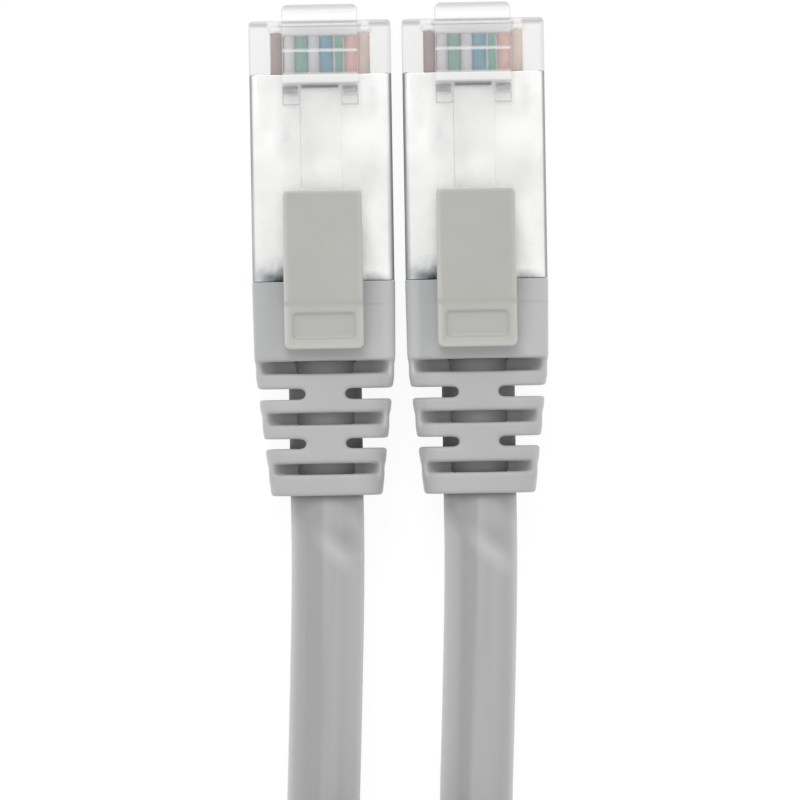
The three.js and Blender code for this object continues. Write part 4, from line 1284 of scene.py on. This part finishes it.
class HousingsOperator(bpy.types.Operator):
    """Moulds the clear housings, with their slots for the contacts."""

    bl_idname = "patch_cable.housings"
    bl_label = "Housings"

    def shape(self):
        front = block(PLUG_WIDTH, 0, 4.38, -PLUG_TOP, PLUG_TOP)
        corners = [edge for edge in edges_along(front, 2) if edge.verts[0].co.y > -1]
        round_over(front, corners, 0.4, 8)
        round_over(front, edges_at(front, 0), 0.22)
        body = block(10.88, 3.4, 20.58, -2.99, 2.99)
        round_over(body, edges_along(body, 1), 0.35)
        chin = block(10.18, 3.4, 8.14, -PLUG_TOP, 0)
        # The wires' channel, the hollow behind it, and room for the latch's nose
        cuts = [
            block(8.26, 1.0, 9.0, 0.28, 1.32),
            block(9.88, 8.0, 21.58, -2.49, 2.49),
            rod(NOSE_RADIUS + 0.3, LATCH_WIDTH + 0.6, "x", (0, *NOSE_AXIS)),
        ]
        # Each contact's slot from below, and where it opens at the front
        for way in range(WAYS):
            cuts.append(block(0.5, 0.7, 6.4, -PLUG_TOP - 1, 0.33, way_x(way)))
            cuts.append(block(0.5, -1, 1.0, -PLUG_TOP - 1, -1.1, way_x(way)))
        return cut(joined(front, body, chin), *cuts)

    def execute(self, context):
        settings = context.scene.patch_cable.plug
        white, grey = (0.84, 0.84, 0.84), (0.3, 0.3, 0.3)
        # The front and the band over the wires' ends get their own tint and cover. The grey lines along the
        # side edges and near the front corners are painted shade, where those edges are seen edge on.
        patches = [
            ((-3.2, 0.5), (3.2, 1.22), (0.8, 0.8, 0.8), 0.8, 0.0002),
            ((-4.15, 0.45), (-3.2, 0.97), (0.93, 0.93, 0.93), 0.8, 0.0002),
            ((3.2, 0.45), (4.15, 0.97), (0.93, 0.93, 0.93), 0.8, 0.0002),
            ((-3.15, 1.25), (3.15, 4.5), white, 0.12),
            ((-4.2, 1.0), (-3.15, 4.5), white, 0.2),
            ((3.15, 1.0), (4.2, 4.5), white, 0.2),
            ((-6.0, 0.5), (-5.74, 4.4), grey, 0.2, 0.00006),
            ((5.6, 0.5), (6.0, 4.4), grey, 0.2, 0.0002),
            ((-5.8, 0.1), (-4.3, 0.42), grey, 0.42),
            ((4.0, 0.1), (5.8, 0.42), grey, 0.42),
        ]
        material = clear_material("clear_plastic", settings.clear_colour, 0.11, 0.12, patches)
        pair = add_pair("clear_housing", "housing", self.shape, material)
        for piece in pair.values():
            ease_edges(piece, settings.edge, 50)
        return {"FINISHED"}


class LatchesOperator(bpy.types.Operator):
    """Moulds the clear latches: a rolled nose, a plate with a bar, and a tongue."""

    bl_idname = "patch_cable.latches"
    bl_label = "Latches"

    def above(self, outline):
        """An outline whose heights are given above the latch's sloping underside."""
        slope = math.tan(LATCH_SLOPE)
        return [(d, PLUG_TOP + 0.35 + (d - 0.24) * slope + rise) for d, rise in outline]

    def shape(self):
        ahead, axis_z = NOSE_AXIS
        nose_top = axis_z + NOSE_RADIUS
        plate = self.above([(0.24, 0.0)])
        plate += [(ahead, axis_z), (ahead, nose_top), (0.24, nose_top + 0.37)]
        plate += self.above([(2.3, 0.72), (2.42, 0.86), (2.56, 0.78), (4.36, 1.05)])
        plate += self.above([(4.5, 1.5), (5.1, 1.4), (5.27, 1.2), (5.27, 0.55), (6.17, 0.55)])
        plate += self.above([(6.17, 0.25), (7.0, 0.25), (7.0, 0.0)])
        tongue = self.above([(5.15, 0.0), (5.15, 0.5), (5.6, 0.55), (5.86, 0.8)])
        tongue += self.above([(15.3, 0.8), (15.6, 0.53), (15.6, 0.27), (15.3, 0.0)])
        nose = rod(NOSE_RADIUS, LATCH_WIDTH, "x", (0, *NOSE_AXIS))
        plan = block(LATCH_WIDTH, ahead - NOSE_RADIUS, 17.0, -9.0, 9.0)
        corners = [edge for edge in edges_along(plan, 2) if edge.verts[0].co.y > 0]
        round_over(plan, corners, 0.55, 8)
        return within(joined(slab(plate, LATCH_WIDTH), nose, slab(tongue, 3.39)), plan)

    def execute(self, context):
        settings = context.scene.patch_cable.plug
        white, grey = (0.84, 0.845, 0.83), (0.38, 0.38, 0.41)
        dark, line = (0.2, 0.2, 0.21), (0.5, 0.5, 0.5)
        # Painted light and shade on the latch: a grey line over the nose's front and grey lines down its
        # sides, a whiter bar, a painted highlight along the ridge across the plate, grey painted shade in
        # the pads beside the tongue with a dark painted shadow under the bar, grey lines along the ledges'
        # edges and the tongue's sides where they are seen edge on, and a little painted light on the
        # tongue.
        patches = [
            ((-3.2, -1.9), (3.2, -0.9), line, 0.36, 0.0005),
            ((-3.2, -1.4), (-3.04, 4.4), line, 0.35, 0.00004),
            ((3.04, -1.4), (3.2, 4.4), line, 0.35, 0.00004),
            ((-3.1, 4.4), (3.1, 5.25), white, 0.75),
            ((-3.1, 2.42), (3.1, 2.54), white, 0.7),
            ((-1.6, 5.3), (1.5, 5.6), dark, 0.6),
            ((-3.2, 5.35), (-1.8, 6.12), grey, 0.55),
            ((1.8, 5.35), (3.1, 6.12), grey, 0.55),
            ((-3.1, 6.86), (-1.75, 7.0), line, 0.55, 0.00005),
            ((1.75, 6.86), (3.1, 7.0), line, 0.55, 0.00005),
            ((-3.13, 6.1), (-3.0, 7.0), line, 0.5, 0.00005),
            ((3.0, 6.1), (3.13, 7.0), line, 0.5, 0.00005),
            ((-1.6, 9.6), (1.6, 12.3), white, 0.02, 0.0002, 0.0005),
            ((-1.76, 5.7), (-1.62, 15.4), line, 0.4, 0.00006),
            ((1.66, 5.7), (1.74, 15.4), line, 0.3, 0.00005),
        ]
        material = clear_material("latch_plastic", settings.latch_colour, 0.07, 0.14, patches)
        pair = add_pair("clear_latch", "latch", self.shape, material, None)
        for side, piece in pair.items():
            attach(piece, f"{side}_latch")
            ease_edges(piece, settings.edge, 40)
        return {"FINISHED"}


class WiresOperator(bpy.types.Operator):
    """Lays the eight wires of each plug over the contacts and back into the jacket."""

    bl_idname = "patch_cable.wires"
    bl_label = "Wires"

    pair_pitch = 1.06
    comb_end = 11.4
    end = 18.6

    def line(self, way):
        """Straight through the comb, then up or down to its row, then in beside its pair."""
        row = self.pair_pitch / 2 * (1 if way % 2 == 0 else -1)
        column = (way // 2 - 1.5) * self.pair_pitch
        middle = (self.comb_end + JACKET_START) / 2
        # The two outer wires start a little further forward
        start = 0.97 if way in (0, WAYS - 1) else 1.18
        steps = 48
        points = []
        for i in range(steps + 1):
            distance = start + (self.end - start) * i / steps
            rise = eased(distance, self.comb_end, middle + 1)
            close = eased(distance, middle - 0.5, JACKET_START)
            x = way_x(way) + (column - way_x(way)) * close
            z = WIRE_LEVEL + (row - WIRE_LEVEL) * rise
            points.append(Vector((x, -distance, z)))
        return points

    def execute(self, context):
        settings = context.scene.patch_cable.plug
        white, cream = settings.white, (0.95, 0.93, 0.8)
        # Name, colour, stripe, where the stripe lies across the wire, and how much of it tints the white
        colours = [
            ("brown", settings.brown, None, None, 0.0),
            ("white_brown", white, settings.brown, (0.75, 1.1), 0.12),
            ("green", settings.green, None, None, 0.0),
            ("white_blue", white, settings.blue, (-1.1, -0.85), 0.05),
            ("blue", settings.blue, None, None, 0.0),
            ("white_green", white, settings.green, (-0.75, 0.6), 0.1),
            ("orange", settings.orange, None, None, 0.0),
            ("white_orange", cream, settings.orange, (-1.1, -0.85), 0.45),
        ]
        for way, (name, rgb, stripe, reach, tint) in enumerate(colours):
            if stripe:
                rgb = [pale + (dye - pale) * tint for pale, dye in zip(rgb, stripe)]
            slot = f"wire_{name}"
            material = wire_material(slot, rgb, stripe, reach)
            line = self.line(way)
            add_pair(f"{name}_wire", f"wire_{way + 1}", lambda: tube(line, WIRE_RADIUS, 20), material)
        return {"FINISHED"}


class SmallPartsOperator(bpy.types.Operator):
    """Finishes the contacts, the wire combs and the braids, which keep their CAD shapes."""

    bl_idname = "patch_cable.small_parts"
    bl_label = "Contacts, Combs and Braids"

    def execute(self, context):
        settings = context.scene.patch_cable.plug
        gold = plated_material("contact_gold", settings.gold_colour, 0.2)
        comb = clear_material("comb_plastic", settings.latch_colour, 0.3, 0.2)
        braid = braid_material()
        for side in SIDES:
            finishes = {f"{side}_contact_{way + 1}": gold for way in range(WAYS)}
            finishes[f"{side}_wire_comb"] = comb
            finishes[f"{side}_braid"] = braid
            for name, material in finishes.items():
                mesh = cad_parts[name].data
                mesh.materials.clear()
                mesh.materials.append(material)
        return {"FINISHED"}


class TieOperator(bpy.types.Operator):
    """Wraps the strap round the waist of the hank, with its end lapped over."""

    bl_idname = "patch_cable.tie"
    bl_label = "Tie"

    thickness = 0.00055
    lap = 0.012

    def line(self, low, high, corner):
        """Points of the band's outside and what faces outwards there, clockwise from its top's middle."""
        middle = (low.x + high.x) / 2
        steps = 8
        points = []
        left, right, bottom, top = low.x + corner, high.x - corner, low.z + corner, high.z - corner
        for x, z, start in ((right, top, 90), (right, bottom, 0), (left, bottom, -90), (left, top, -180)):
            for i in range(steps + 1):
                angle = math.radians(start - i * 90 / steps)
                outwards = Vector((math.cos(angle), 0, math.sin(angle)))
                points.append((Vector((x, 0, z)) + outwards * corner, outwards))
        start = (Vector((middle, 0, high.z)), Vector((0, 0, 1)))
        end = (Vector((middle + self.lap, 0, high.z)), Vector((0, 0, 1)))
        return [start, *points, start, end]

    def band(self, low, high, corner):
        """A strip wound once round the hank from within, with its end over its start."""
        line = self.line(low, high, corner)
        lengths = [0.0]
        for (before, _), (after, _) in zip(line, line[1:]):
            lengths.append(lengths[-1] + (after - before).length)
        turn = lengths[-2]
        shape = bmesh.new()
        rows = []
        for (point, outwards), length in zip(line, lengths):
            inset = self.thickness * max(0.0, 1 - length / turn)
            at = point - outwards * inset
            rows.append([shape.verts.new((at.x, y, at.z)) for y in (low.y, high.y)])
        for (a, b), (c, d) in zip(rows, rows[1:]):
            shape.faces.new((a, c, d, b))
        bmesh.ops.subdivide_edges(shape, edges=edges_along(shape, 0), cuts=3)
        return shape

    def execute(self, context):
        settings = context.scene.patch_cable.cord
        low, high = (Vector(corner) for corner in TIE_BOX)
        shape = self.band(low, high, 0.003)
        material = strap_material(settings.tie_colour)
        piece = add_piece("tie_strap", shape, Matrix.Identity(4), material, ["hank_tie"])
        thicken(piece, self.thickness)
        ease_edges(piece, 0.00015)
        return {"FINISHED"}


OPERATORS = [
    StageOperator,
    CordOperator,
    JacketEndsOperator,
    BootsOperator,
    GuardsOperator,
    ShieldsOperator,
    HousingsOperator,
    LatchesOperator,
    WiresOperator,
    SmallPartsOperator,
    TieOperator,
]


class PatchCablePanel(bpy.types.Panel):
    """Lists the settings and the pieces."""

    bl_idname = "VIEW3D_PT_patch_cable"
    bl_label = "Patch Cable"
    bl_space_type = "VIEW_3D"
    bl_region_type = "UI"
    bl_category = "Patch Cable"

    def draw(self, context):
        settings = context.scene.patch_cable
        for group in (settings.stage, settings.cord, settings.boot, settings.plug):
            box = self.layout.box()
            for name in group.__annotations__:
                box.prop(group, name)
        for operator in OPERATORS:
            self.layout.operator(operator.bl_idname)


SETTINGS = [PlugSettings, BootSettings, CordSettings, StageSettings, PatchCableSettings]
CLASSES = [*SETTINGS, *OPERATORS, PatchCablePanel]


def register():
    for item in CLASSES:
        bpy.utils.register_class(item)
    bpy.types.Scene.patch_cable = PointerProperty(type=PatchCableSettings)


def unregister():
    del bpy.types.Scene.patch_cable
    for item in reversed(CLASSES):
        bpy.utils.unregister_class(item)


def main():
    register()
    for operator in OPERATORS:
        group, name = operator.bl_idname.split(".")
        getattr(getattr(bpy.ops, group), name)()


if __name__ == "__main__":
    main()
